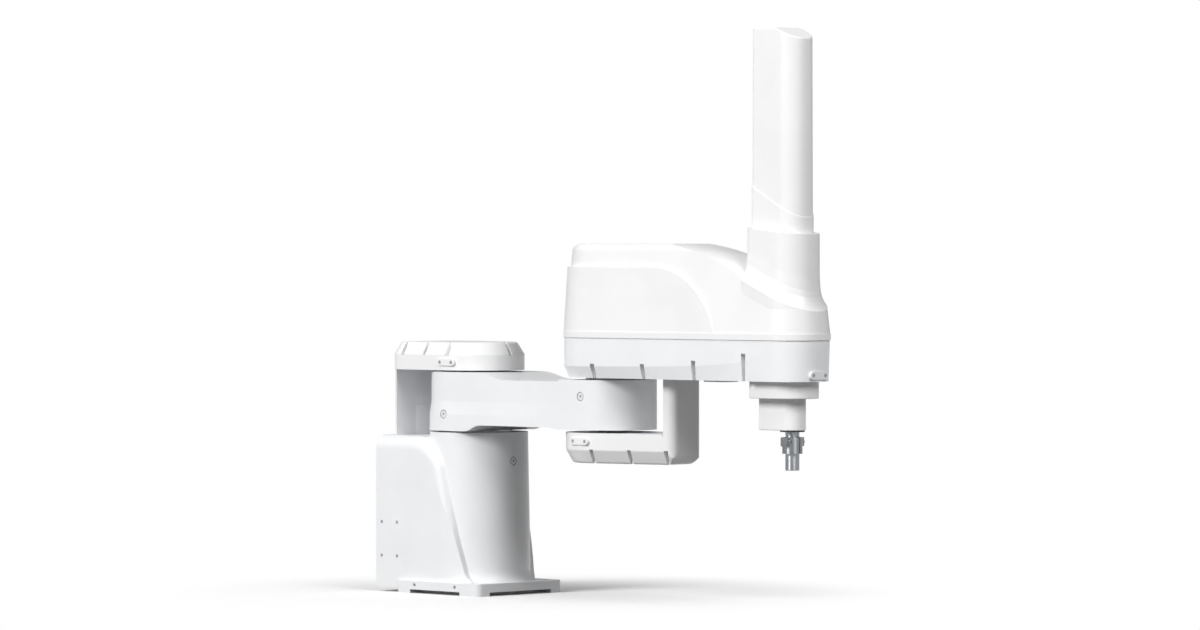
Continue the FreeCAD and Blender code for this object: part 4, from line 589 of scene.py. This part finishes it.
@dataclass
class Assembly:
    """Sub-assembly of the robot: CAD nodes that keep their solids, and skins for the others.

    Attributes:
        shop: Workshop that makes and dresses the pieces.
        kept: CAD nodes whose solids stay.
    """

    shop: Workshop
    kept: tuple[str, ...] = ()

    def build(self) -> None:
        """Dresses the kept nodes, then makes the skins."""
        for name in self.kept:
            self.shop.dress_node(name)
        self.make_skins()

    def make_skins(self) -> None:
        """Makes the skins; a sub-assembly without any makes none."""


@dataclass(frozen=True)
class PlugGrooveShade:
    """Dark rubber ring in the groove round a plug: painted shade, a dark thing that stands for the shadow in
    that groove.

    Attributes:
        centre: Middle of the ring, in millimetres.
        out: Direction out of the wall, a unit vector along X or Y.
        radius: Radius of its middle line.
        thick: Radius of its round section.
    """

    centre: Place
    out: Place
    radius: float = 7.7
    thick: float = 0.5

    def surface(self) -> Surface:
        """Computes the ring.

        Point (i, j) is centre + (R + r cos v) (side cos u + up sin u) + out r sin v, with u from i
        and v from j.
        """
        turns, rounds = 48, 10
        out, up = np.array(self.out), np.array([0.0, 0.0, 1.0])
        side = np.cross(up, out)
        u = np.linspace(0, math.tau, turns, endpoint=False)[:, None, None]
        v = np.linspace(0, math.tau, rounds, endpoint=False)[None, :, None]
        reach = self.radius + self.thick * np.cos(v)
        points = (np.array(self.centre) + reach * (side * np.cos(u) + up * np.sin(u))
                  + out * self.thick * np.sin(v))
        return points.reshape(-1, 3), quads(turns, rounds, closes=True)[:, ::-1]


@dataclass
class Pedestal(Assembly):
    """Base casting with its screws, plug, connector plate and the first drive inside.

    Attributes:
        groove_shade_x: X of the dark ring round the column's plug, which is painted shade in the plug's
            groove.
        groove_shade_z: Height of that ring.
    """

    kept: tuple[str, ...] = ("base_casting", "column_plug", "side_screws", "rear_panel", "power_connector",
                             "signal_connectors", "air_fittings", "panel_screws", "j1_motor", "j1_reducer",
                             "j1_bearing")
    groove_shade_x: float = 91.6
    groove_shade_z: float = 247.0

    def make_skins(self) -> None:
        """Fits a dark rubber ring round the column's plug, as painted shade in the plug's groove."""
        # The dark ring is painted shade: it stands for the shadow in the groove round the plug.
        groove_shade_ring = PlugGrooveShade((self.groove_shade_x, 0.0, self.groove_shade_z), (1.0, 0.0, 0.0))
        self.shop.skin_piece("column_plug_groove_shade", "column_plug", [groove_shade_ring.surface()], slot="seal_rubber")


@dataclass(frozen=True)
class IndexBoss:
    """Low oblong pad on the side of a cap, for the screws of a stop.

    Attributes:
        length: Length along X.
        height: Height.
        proud: How far it stands out of the wall.
        edge: Radius of its outer edge.
        root: How far it reaches into the wall.
    """

    length: float = 46.0
    height: float = 14.0
    proud: float = 2.1
    edge: float = 1.0
    root: float = 3.0

    def surfaces(self, x: float, wall_y: float, z: float) -> list[Surface]:
        """Makes the pads on both sides of a cap.

        The section starts in the wall and runs out to the rounded face and over it. It is worked out lying
        on its back, as (u, v, h), and set upright as (x + u, -wall - h, z + v) on the near side
        and (x - u, wall + h, z + v) on the far side.

        Args:
            x: Centre along X.
            wall_y: Distance of the cap's side from Y = 0.
            z: Height of the centre.

        Returns:
            The surfaces of both pads.
        """
        r = self.height / 2
        reach = self.length / 2 - r
        quarter = math.pi / 2
        skin = Skin(chain([Arc(reach, 0.0, r, -quarter, quarter), Arc(-reach, 0.0, r, quarter, 3 * quarter)],
                          (-reach, reach)))
        skin.lid(0.0, -self.root, opening=True)
        skin.add((0.0, -self.root), *bend(
            (0.0, self.proud - self.edge), (0.0, self.proud), (self.edge, self.proud), 3))
        skin.lid(self.edge, self.proud)
        points, faces = skin.arrays()
        u, v, h = points.T
        near = np.column_stack([x + u, -wall_y - h, z + v])
        far = np.column_stack([x - u, wall_y + h, z + v])
        return [(near, faces), (far, faces)]


@dataclass
class FirstJoint(Assembly):
    """Cap over the first joint, on its cable riser.

    Attributes:
        radius: Half the cap's width, the radius of its nose.
        rear: Distance from the axis to the flat back.
        corner: Radius of the back corners.
        low: Height of the cap's foot.
        crease: Height where the bevel starts.
        top: Height of the flat top.
        bevel: How far the bevel leans in.
        notch_x: Places of the finger notches along the sides.
        notch_width: Width of a notch.
        notch_depth: How far a notch reaches in from the side.
        boss_z: Height of the index pads.
        riser_low: Height where the cable riser stands on the box.
        riser_high: Height where it carries the cap's floor.
        riser_front: X of its front.
        riser_inset: How far it stays inside the cap's outline.
        riser_edge: Radius of its front edges.
        foot_half: Half the width of the shallow foot on its front.
        foot_top: Height of the foot.
        foot_depth: How far the foot stands out.
        foot_flank: Width of the foot's slanting flanks.
    """

    kept: tuple[str, ...] = ("j1_cap_floor", "j1_index_screws", "j1_output_flange")
    radius: float = 85.0
    rear: float = 157.0
    corner: float = 30.0
    low: float = 419.0
    crease: float = 444.0
    top: float = 467.0
    bevel: float = 14.0
    notch_x: tuple[float, ...] = (-118.0, -60.0, 0.0)
    notch_width: float = 7.0
    notch_depth: float = 16.5
    boss_z: float = 430.0
    riser_low: float = 292.0
    riser_high: float = 415.0
    riser_front: float = -139.0
    riser_inset: float = 1.0
    riser_edge: float = 1.2
    foot_half: float = 36.0
    foot_top: float = 347.0
    foot_depth: float = 3.0
    foot_flank: float = 16.0

    def make_skins(self) -> None:
        """Makes the cap and the riser that carries it."""
        self.cap_skin()
        riser = [self.riser_skin().arrays(), self.foot_surface()]
        self.shop.skin_piece("cable_riser_wall", "cable_riser", riser)

    def riser_skin(self) -> Skin:
        """Makes the riser: the slice of the cap's plan behind its front, carried straight up.

        The small front edges touch the large back corners where both have the same normal.
        """
        large = self.corner - self.riser_inset
        x, y = self.corner - self.rear, self.radius - self.corner
        edge_x = self.riser_front - self.riser_edge
        edge_y = y + math.sqrt((large - self.riser_edge) ** 2 - (edge_x - x) ** 2)
        meet = math.atan2(edge_y - y, edge_x - x)
        arcs = mirrored([Arc(edge_x, edge_y, self.riser_edge, 0.0, meet, pieces=6),
                         Arc(x, y, large, meet, math.pi, pieces=10)])
        middle = (self.riser_front - self.rear) / 2
        return Skin(chain(arcs, (middle, middle))).block(self.riser_low, self.riser_high)

    def foot_surface(self) -> Surface:
        """Makes the foot: a shallow block whose flanks slant back to the riser's front."""
        low, top, half, depth = self.riser_low, self.foot_top, self.foot_half, self.foot_depth
        back = np.array([[-half, low], [half, low], [half, top], [-half, top]])
        flank = self.foot_flank
        front = back + np.array([[flank, 0.0], [-flank, 0.0], [-flank, -depth], [flank, -depth]])
        points = np.concatenate([np.insert(back, 0, self.riser_front - self.riser_edge, axis=1),
                                 np.insert(front, 0, self.riser_front + depth, axis=1)])
        faces = np.array([(3, 2, 1, 0), (4, 5, 6, 7), (0, 1, 5, 4),
                          (1, 2, 6, 5), (2, 3, 7, 6), (3, 0, 4, 7)])
        return points, faces

    def cap_skin(self) -> None:
        """Makes the cap: upright wall, bevel with notches and a flat top with a soft edge.

        A notch is where the inset is the larger of the bevel's and the notch's depth.
        """
        sliver, side_normal = 0.0002, 0.999
        half_turn = self.notch_width / 2 / self.radius
        outline = nosed(0.0, self.radius, self.rear, self.corner, notch_edges(self.notch_x, self.notch_width),
                        [side * half_turn + away for side in (-1, 1) for away in (-sliver, sliver)])
        side = np.abs(outline.normals[:, 1]) > side_normal
        at_side = outline.beside(self.notch_x, self.notch_width) & side
        at_nose = (outline.x > 0) & (np.abs(outline.points[:, 1]) < self.notch_width / 2)
        notch = np.where(at_side | at_nose, self.notch_depth, 0.0)

        slope = self.bevel / (self.top - self.crease)
        wall = self.crease - CREASE_SOFT
        soft_crease = bend((0.0, wall), (0.0, self.crease),
                           (CREASE_SOFT * slope, self.crease + CREASE_SOFT), 3)
        edge = bend((self.bevel - EDGE_DROP * slope, self.top - EDGE_DROP), (self.bevel, self.top),
                    (self.bevel + EDGE_REACH, self.top))
        skin = Skin(outline)
        skin.lid(0.0, self.low, opening=True)
        skin.add((0.0, self.low), (0.0, wall), (notch, wall + NOTCH_LIP))
        skin.add(*[(np.maximum(depth, notch), height) for depth, height in soft_crease[1:] + edge])
        skin.lid(self.bevel + EDGE_REACH, self.top)
        pads = IndexBoss().surfaces(0.0, self.radius, self.boss_z)
        self.shop.skin_piece("first_joint_cap", "j1_cap", [skin.arrays()] + pads)


@dataclass
class LinkArm(Assembly):
    """Cast link between the two main joints, with its plugs and the flange of the second joint.

    Attributes:
        groove_shades: X, distance from the middle plane and height of the dark rings round the plugs, painted
            shade in their grooves.
    """

    kept: tuple[str, ...] = ("link_casting", "link_plugs", "j2_output_flange")
    groove_shades: tuple[Place, ...] = ((0.0, 91.1, 334.0), (350.0, 81.1, 373.0))

    def make_skins(self) -> None:
        """Fits a dark rubber ring round each plug, on both sides, as painted shade in the grooves."""
        # Each dark ring is painted shade, standing for the shadow in a plug's groove.
        rings = [PlugGrooveShade((x, side * away, z), (0.0, side, 0.0)).surface()
                 for x, away, z in self.groove_shades for side in (-1.0, 1.0)]
        self.shop.skin_piece("link_plug_groove_shades", "link_plugs", rings, slot="seal_rubber")


@dataclass
class LowerCap(Assembly):
    """Cap under the second joint, with the riser that leads the cables up into the forearm.

    Attributes:
        axis: X of the second joint.
        radius: Radius of the round rear.
        front: Distance from the axis to the flat front.
        front_half: Half the width of the front.
        corner: Radius of the cap's front corners.
        riser_corner: Radius of the riser's front corners.
        bottom: Height of the flat underside.
        crease: Height where the bevel ends.
        rim: Height of the cap's rim.
        riser_top: Height where the riser meets the tray.
        bevel: How far the bevel leans in.
        riser_depth: Depth of the riser.
        heel: Radius that rounds the underside up into the front.
        notch_along: Places of the notches along the slanting sides.
        notch_width: Width of a notch.
        notch_depth: How far a notch reaches in.
        boss_z: Height of the index pads.
        bevel_rings: Insets of the rings on the bevel, which the heel cuts across.
        lip: Width and height of the lip round the cap's closed upper side.
    """

    kept: tuple[str, ...] = ("knee_floor", "knee_index_screws")
    axis: float = 350.0
    radius: float = 84.0
    front: float = 191.5
    front_half: float = 37.0
    corner: float = 18.0
    riser_corner: float = 18.0
    bottom: float = 252.0
    crease: float = 276.0
    rim: float = 303.0
    riser_top: float = 407.0
    bevel: float = 13.0
    riser_depth: float = 21.0
    heel: float = 24.0
    notch_along: tuple[float, ...] = (5.0, 84.0, 160.0)
    notch_width: float = 7.0
    notch_depth: float = 15.5
    boss_z: float = 292.0
    bevel_rings: tuple[float, ...] = (9.0, 7.2, 5.5, 4.0, 2.6, 1.6)
    lip: float = 3.0

    def lean(self) -> float:
        """Gives the angle by which the sides turn in towards the front, in radians."""
        reach = math.hypot(self.front, self.front_half)
        return math.asin(self.radius / reach) - math.atan2(self.front_half, self.front)

    def front_corner(self, radius: float) -> Arc:
        """Gives a round front corner, inside the meeting point of side and front."""
        turn = math.pi / 2 - self.lean()
        y = self.front_half - radius * math.tan(turn / 2)
        return Arc(self.axis + self.front - radius, y, radius, 0.0, turn, pieces=8)

    def side_x(self, along: float) -> float:
        """Gives X of a place on the slanting side, at a distance from where the round rear ends."""
        return self.axis + self.radius * math.sin(self.lean()) + along * math.cos(self.lean())

    def heel_height(self, x: Array) -> Array:
        """Gives the lowest height at X: bottom + r - sqrt(r^2 - (x - start)^2) past the heel's start."""
        past = np.clip(x - (self.axis + self.front - self.heel), 0.0, self.heel)
        return self.bottom + self.heel - np.sqrt(self.heel ** 2 - past ** 2)

    def make_skins(self) -> None:
        """Makes the cap and the riser as one moulding."""
        mouldings = [self.tray_skin().arrays(), self.riser_skin().arrays()]
        pads = IndexBoss().surfaces(self.axis, self.radius, self.boss_z)
        self.shop.skin_piece("second_joint_cap", "knee_cap", mouldings + pads)

    def tray_skin(self) -> Skin:
        """Makes the cap: flat underside, bevel with notches, heel at the front and an upright wall.

        Every height is raised to the heel's where it would lie lower. Where the outline turns to the
        front, the bevel gives way to the heel alone.
        """
        turn = math.pi / 2 - self.lean()
        centres = [self.side_x(along) for along in self.notch_along]
        width = self.notch_width * math.cos(self.lean())
        rear = Arc(self.axis, 0.0, self.radius, turn, math.tau - turn, pieces=60)
        corner, far_corner = mirrored([self.front_corner(self.corner)])
        outline = chain([corner, rear, far_corner], (self.axis, self.axis + self.front - self.front_half),
                        notch_edges(centres, width))
        slanting = np.isclose(outline.normals[:, 0], math.cos(turn))
        notch = np.where(outline.beside(centres, width) & slanting, self.notch_depth, 0.0)

        slope = self.bevel / (self.crease - self.bottom)
        wall = self.crease + CREASE_SOFT
        section = bend((self.bevel + EDGE_REACH, self.bottom), (self.bevel, self.bottom),
                       (self.bevel - EDGE_DROP * slope, self.bottom + EDGE_DROP))
        section += [(depth, self.crease - depth / slope) for depth in self.bevel_rings]
        section += bend((CREASE_SOFT * slope, self.crease - CREASE_SOFT), (0.0, self.crease), (0.0, wall), 3)
        front_from, front_over = 0.35, 0.5
        ahead = np.clip((outline.normals[:, 0] - front_from) / front_over, 0.0, 1.0)
        skin = Skin(outline)
        skin.lid(self.bevel + EDGE_REACH, self.heel_height, opening=True)
        for depth, height in section:
            cut = np.maximum(depth, notch)
            heel = self.heel_height(outline.inset(cut)[:, 0])
            skin.add((cut, (1 - ahead) * np.maximum(height, heel) + ahead * heel))
        floor = self.rim - self.lip
        skin.add((0.0, np.maximum(wall + NOTCH_LIP, self.heel_height(outline.x))),
                 (0.0, self.rim), (self.lip, self.rim), (self.lip, floor))
        skin.lid(self.lip, floor)
        return skin

    def riser_skin(self) -> Skin:
        """Makes the riser: the front slice of the cap's plan, carried up to the tray."""
        lean, small, lap = self.lean(), 1.5, 0.05
        rear = self.axis + self.front - self.riser_depth
        half = self.front_half + self.riser_depth * math.tan(lean)
        y = half - small * (1 + math.sin(lean)) / math.cos(lean) + small * math.tan(lean)
        arcs = mirrored([self.front_corner(self.riser_corner),
                         Arc(rear + small, y, small, math.pi / 2 - lean, math.pi, pieces=5)])
        middle = rear + self.riser_depth / 2
        return Skin(chain(arcs, (middle, middle))).block(self.rim - lap, self.riser_top)


@dataclass
class Forearm(Assembly):
    """Tray and moulded cover of the forearm, with the drives that they enclose."""

    kept: tuple[str, ...] = ("forearm_tray", "nose_index_screws", "cover_screws", "under_pad", "upper_cover",
                             "j2_reducer", "j2_bearing", "j2_motor", "z_motor_stand", "theta_motor_stand",
                             "z_motor", "theta_motor", "z_pulley", "z_motor_pulley", "theta_pulley",
                             "theta_motor_pulley", "z_belt", "theta_belt", "spline_bearing", "ball_bearing",
                             "spline_nut", "ball_nut", "nut_carrier")


@dataclass(frozen=True)
class Housing:
    """Thin housing under the forearm: flat back, round nose, open top and a round hole for the shaft.

    Attributes:
        radius: Radius of the nose.
        rear: Distance from the quill's axis to the flat back.
        corner: Radius of the back corners.
        bottom: Lowest height.
        top: Highest height.
        hole: Radius of the hole in the floor.
        wall: Thickness of wall and floor.
        edge: Radius of the lower outer edge.
    """

    radius: float
    rear: float
    corner: float
    bottom: float
    top: float
    hole: float
    wall: float = 3.0
    edge: float = 2.0

    def surface(self, axis: float) -> Surface:
        """Carries the wall's section round the plan, down inside, out through the floor and up outside.

        Args:
            axis: X of the quill.
        """
        skin = Skin(nosed(axis, self.radius, self.rear, self.corner), closes=True)
        floor = self.bottom + self.wall
        skin.add((self.wall, self.top), (self.wall, floor))
        skin.rings += [(skin.outline.round_hole(axis, self.hole), height) for height in (floor, self.bottom)]
        skin.add(*bend((self.edge, self.bottom), (0.0, self.bottom), (0.0, self.bottom + self.edge)),
                 (0.0, self.top))
        return skin.arrays()


@dataclass
class Quill(Assembly):
    """Tall tube, housings and grooved shaft on the forearm's front end.

    Attributes:
        axis: X of the shaft.
        tube_radius: Radius of the tube's round front.
        tube_rear: Distance from the axis to the tube's flat back.
        tube_corner: Radius of the tube's back corners.
        tube_low: Height of the tube's hidden foot.
        tube_top: Height of the flat part of its top.
        tube_front_top: Height of the top's lowest edge, at the front.
        slant_x: Where the top starts to fall, from the axis towards the back.
        step: How far the lower stretch stands proud.
        step_z: Height of the step one tube radius behind the axis.
        step_slope: Fall of the step for each millimetre along X.
        taper: How far the tube narrows up to its top.
        tube_wall: Thickness of the tube.
        shaft_radius: Radius of the shaft.
        bore: Radius of the shaft's bore.
        shaft_low: Height of the shaft's tip.
        shaft_high: Height of the shaft's upper end.
        plain: Length at the tip without grooves.
        groove: Depth and half width of a groove.
        grooves: Number of grooves.
        relief_z: Lowest and highest height of the turned relief under the stop collar.
    """

    kept: tuple[str, ...] = ("quill_seal", "quill_bushing", "stop_collar", "clamp_screws", "upper_stop")
    axis: float = 800.0
    tube_radius: float = 36.0
    tube_rear: float = 68.0
    tube_corner: float = 9.0
    tube_low: float = 640.0
    tube_top: float = 1032.0
    tube_front_top: float = 1012.0
    slant_x: float = 12.0
    step: float = 1.4
    step_z: float = 737.0
    step_slope: float = 0.556
    taper: float = 0.8
    tube_wall: float = 3.8
    shaft_radius: float = 12.5
    bore: float = 7.0
    shaft_low: float = 249.0
    shaft_high: float = 992.0
    plain: float = 45.0
    groove: float = 1.6
    grooves: int = 6
    relief_z: tuple[float, float] = (277.5, 279.0)

    def make_skins(self) -> None:
        """Makes the tube, both housings and the shaft."""
        self.shop.skin_piece("tall_tube", "tube_cover", [self.tube_surface()])
        upper = Housing(radius=47.0, rear=66.0, corner=10.0, bottom=376.5, top=407.0, hole=21.0)
        lower = Housing(radius=24.0, rear=62.0, corner=6.0, bottom=320.0, top=376.5, hole=14.5)
        self.shop.skin_piece("upper_housing", "quill_housing_upper", [upper.surface(self.axis)])
        self.shop.skin_piece("lower_housing", "quill_housing_lower", [lower.surface(self.axis)])
        self.shop.skin_piece("grooved_shaft", "quill_shaft", [self.shaft_surface()])

    def top_height(self, x: Array) -> Array:
        """Gives the tube's top at X: flat at the back, then falling in a straight slant to the front."""
        slope = (self.tube_top - self.tube_front_top) / (self.slant_x + self.tube_radius)
        return self.tube_top - slope * np.maximum(0.0, x - (self.axis - self.slant_x))

    def tube_surface(self) -> Surface:
        """Carries the tube's section round its plan: down the blind bore, up outside and over the top.

        The step lies at height step_z - step_slope * (x - (axis - radius)).
        """
        soft, roof = 3.0, 12.0
        outline = nosed(self.axis, self.tube_radius, self.tube_rear, self.tube_corner,
                        [self.axis - self.slant_x])
        step_height = self.step_z - self.step_slope * (outline.x - (self.axis - self.tube_radius))
        blind = self.tube_front_top - roof
        skin = Skin(outline)
        skin.lid(self.tube_wall, blind, opening=True)
        skin.add((self.tube_wall, blind), (self.tube_wall, self.tube_low), (-self.step, self.tube_low))
        for share, drop in ((1.0, 0.8), (0.7, 0.2), (0.0, 0.0)):
            skin.add((-self.step * share, step_height - drop))
        for depth, drop in bend((self.taper, soft), (self.taper, 0.0), (self.taper + soft, 0.0), 6):
            skin.add((depth, self.top_height(outline.inset(depth)[:, 0]) - drop))
        skin.lid(self.taper + soft, self.top_height)
        return skin.arrays()

    def shaft_surface(self) -> Surface:
        """Carries the shaft's section round a circle: down the bore, over the tip and up the grooves.

        A groove's depth at an arc length s from its middle is sqrt(groove^2 - s^2), or 0 beyond it.
        """
        chamfer, end_chamfer, run_out, relief = 1.0, 0.8, 4.0, 0.5
        outline = chain([Arc(self.axis, 0.0, self.shaft_radius, -math.pi, math.pi, pieces=180)],
                        (self.axis, self.axis))
        outline = Outline(outline.points[:-1], outline.normals[:-1], outline.spine)
        pitch = math.tau / self.grooves
        bearing = np.arctan2(outline.normals[:, 1], outline.normals[:, 0])
        off_middle = (np.mod(bearing + pitch / 2, pitch) - pitch / 2) * self.shaft_radius
        depth = np.sqrt(np.maximum(0.0, self.groove ** 2 - off_middle ** 2))
        inner = self.shaft_radius - self.bore
        low, high, start = self.shaft_low, self.shaft_high, self.shaft_low + self.plain
        relief_low, relief_high = self.relief_z
        skin = Skin(outline, closes=True)
        skin.add((inner, high), (inner, low + chamfer), (inner - chamfer, low),
                 (chamfer, low), (0.0, low + chamfer), (0.0, relief_low), (relief, relief_low),
                 (relief, relief_high), (0.0, relief_high), (0.0, start), (depth, start + run_out),
                 (depth, high - end_chamfer), (depth + end_chamfer, high))
        return skin.arrays()


@dataclass(frozen=True)
class SoftBox:
    """Square lamp that faces the middle of the arm.

    Attributes:
        name: Name of the lamp.
        place: Position in metres.
        side: Edge length in metres.
        power: Power in watts.
    """

    name: str
    place: Place
    side: float
    power: float

    def hang(self) -> None:
        """Adds the lamp to the scene."""
        data = bpy.data.lights.new(self.name, "AREA")
        data.shape = "SQUARE"
        data.size = self.side
        data.energy = self.power
        aim(add_object(self.name, data), self.place, Vector(ARM_MIDDLE) - Vector(self.place))


@dataclass
class Studio:
    """Pale floor, soft studio light and the camera of the picture.

    Attributes:
        camera_place: Camera position in metres.
        lens: Focal length in millimetres on a sensor 36 mm wide.
        pitch: How far the camera looks down, in degrees.
        heading: Direction of view in plan, in degrees from +X.
        floor_half: Half the floor's edge length, in metres.
        floor_centre: Point that the floor fades away from, in metres.
        floor_near: Distance from there where the floor starts to fade to white, in metres.
        floor_far: Distance where it is white.
        floor_colour: Colour of the floor as the camera sees it, sRGB hex.
        table_colour: Colour that the floor throws back on to the object, sRGB hex.
        sky: Strength of the even light from all round.
        lamps: A large soft box to the left of the camera, a smaller one to its right and a weak one
            behind the arm.
    """

    camera_place: Place = (7.870, -7.551, 0.6584)
    lens: float = 175.5
    pitch: float = 0.744
    heading: float = 135.0
    floor_half: float = 30.0
    floor_centre: Place = (0.1, 0.0, 0.0)
    floor_near: float = 0.15
    floor_far: float = 0.75
    floor_colour: str = "#F8F8F8"
    table_colour: str = "#747474"
    sky: float = 0.24
    lamps: tuple[SoftBox, ...] = (SoftBox("key_box", (-0.6, -7.6, 4.9), side=3.4, power=706.0),
                                  SoftBox("side_box", (4.3, -0.6, 3.3), side=2.2, power=113.0),
                                  SoftBox("back_box", (-2.6, 3.4, 2.6), side=3.8, power=20.0))

    def build(self) -> None:
        """Makes the floor, world, lamps and camera."""
        self.camera()
        self.floor()
        self.world()
        for lamp in self.lamps:
            lamp.hang()

    def camera(self) -> None:
        """Places the camera by its solved position, heading and pitch."""
        data = bpy.data.cameras.new("camera")
        data.lens = self.lens
        data.sensor_width = 36.0
        turn, dip = math.radians(self.heading), math.radians(self.pitch)
        look = Vector((math.cos(turn) * math.cos(dip), math.sin(turn) * math.cos(dip), -math.sin(dip)))
        camera = add_object("camera", data)
        aim(camera, self.camera_place, look)
        bpy.context.scene.camera = camera

    def floor(self) -> None:
        """Lays a pale floor that keeps the object's shadow and fades to pure white further out.

        What it throws back on to the object is darker, as a studio table's is.
        """
        half = self.floor_half
        mesh = bpy.data.meshes.new("floor")
        mesh.from_pydata([(-half, -half, 0), (half, -half, 0), (half, half, 0), (-half, half, 0)],
                         [], [(0, 1, 2, 3)])
        floor = add_object("floor", mesh)
        material = bpy.data.materials.new("pale_floor")
        tree = empty_tree(material)
        paths = add_node(tree, "LightPath")
        seen = paths.outputs["Is Camera Ray"]
        for ray in ("Is Glossy Ray", "Is Transmission Ray"):
            seen = add_node(tree, "Math", {0: seen, 1: paths.outputs[ray]}, operation="MAXIMUM")
        place = add_node(tree, "TexCoord").outputs["Object"]
        away = add_node(tree, "VectorMath", {0: place, 1: self.floor_centre}, operation="DISTANCE")
        far = add_node(tree, "MapRange", {
            "Value": away.outputs["Value"], "From Min": self.floor_near, "From Max": self.floor_far},
            interpolation_type="SMOOTHSTEP")
        pale = add_node(tree, "BsdfDiffuse", {"Color": linear(self.floor_colour)})
        white = add_node(tree, "Emission", {"Color": WHITE, "Strength": 1.0})
        table = add_node(tree, "BsdfDiffuse", {"Color": linear(self.table_colour)})
        shown = add_node(tree, "MixShader", {0: far, 1: pale, 2: white})
        both = add_node(tree, "MixShader", {0: seen, 1: table, 2: shown})
        add_node(tree, "OutputMaterial", {"Surface": both})
        mesh.materials.append(material)

    def world(self) -> None:
        """Lights evenly from all round, and shows white behind the object."""
        world = bpy.data.worlds.new("studio")
        bpy.context.scene.world = world
        tree = empty_tree(world)
        paths = add_node(tree, "LightPath")
        seen = add_node(tree, "Math", {
            0: paths.outputs["Is Camera Ray"], 1: paths.outputs["Is Transmission Ray"]}, operation="MAXIMUM")
        soft = add_node(tree, "Background", {"Color": WHITE, "Strength": self.sky})
        white = add_node(tree, "Background", {"Color": WHITE, "Strength": 1.0})
        add_node(tree, "OutputWorld", {"Surface": add_node(tree, "MixShader", {0: seen, 1: soft, 2: white})})


def main() -> None:
    """Builds the studio, then the robot's sub-assemblies from base to quill."""
    logging.basicConfig(level=logging.INFO, format="%(message)s")
    bpy.context.scene.view_settings.view_transform = "Standard"
    Studio().build()
    shop = Workshop()
    for assembly in (Pedestal, FirstJoint, LinkArm, LowerCap, Forearm, Quill):
        assembly(shop).build()


if __name__ == "__main__":
    main()
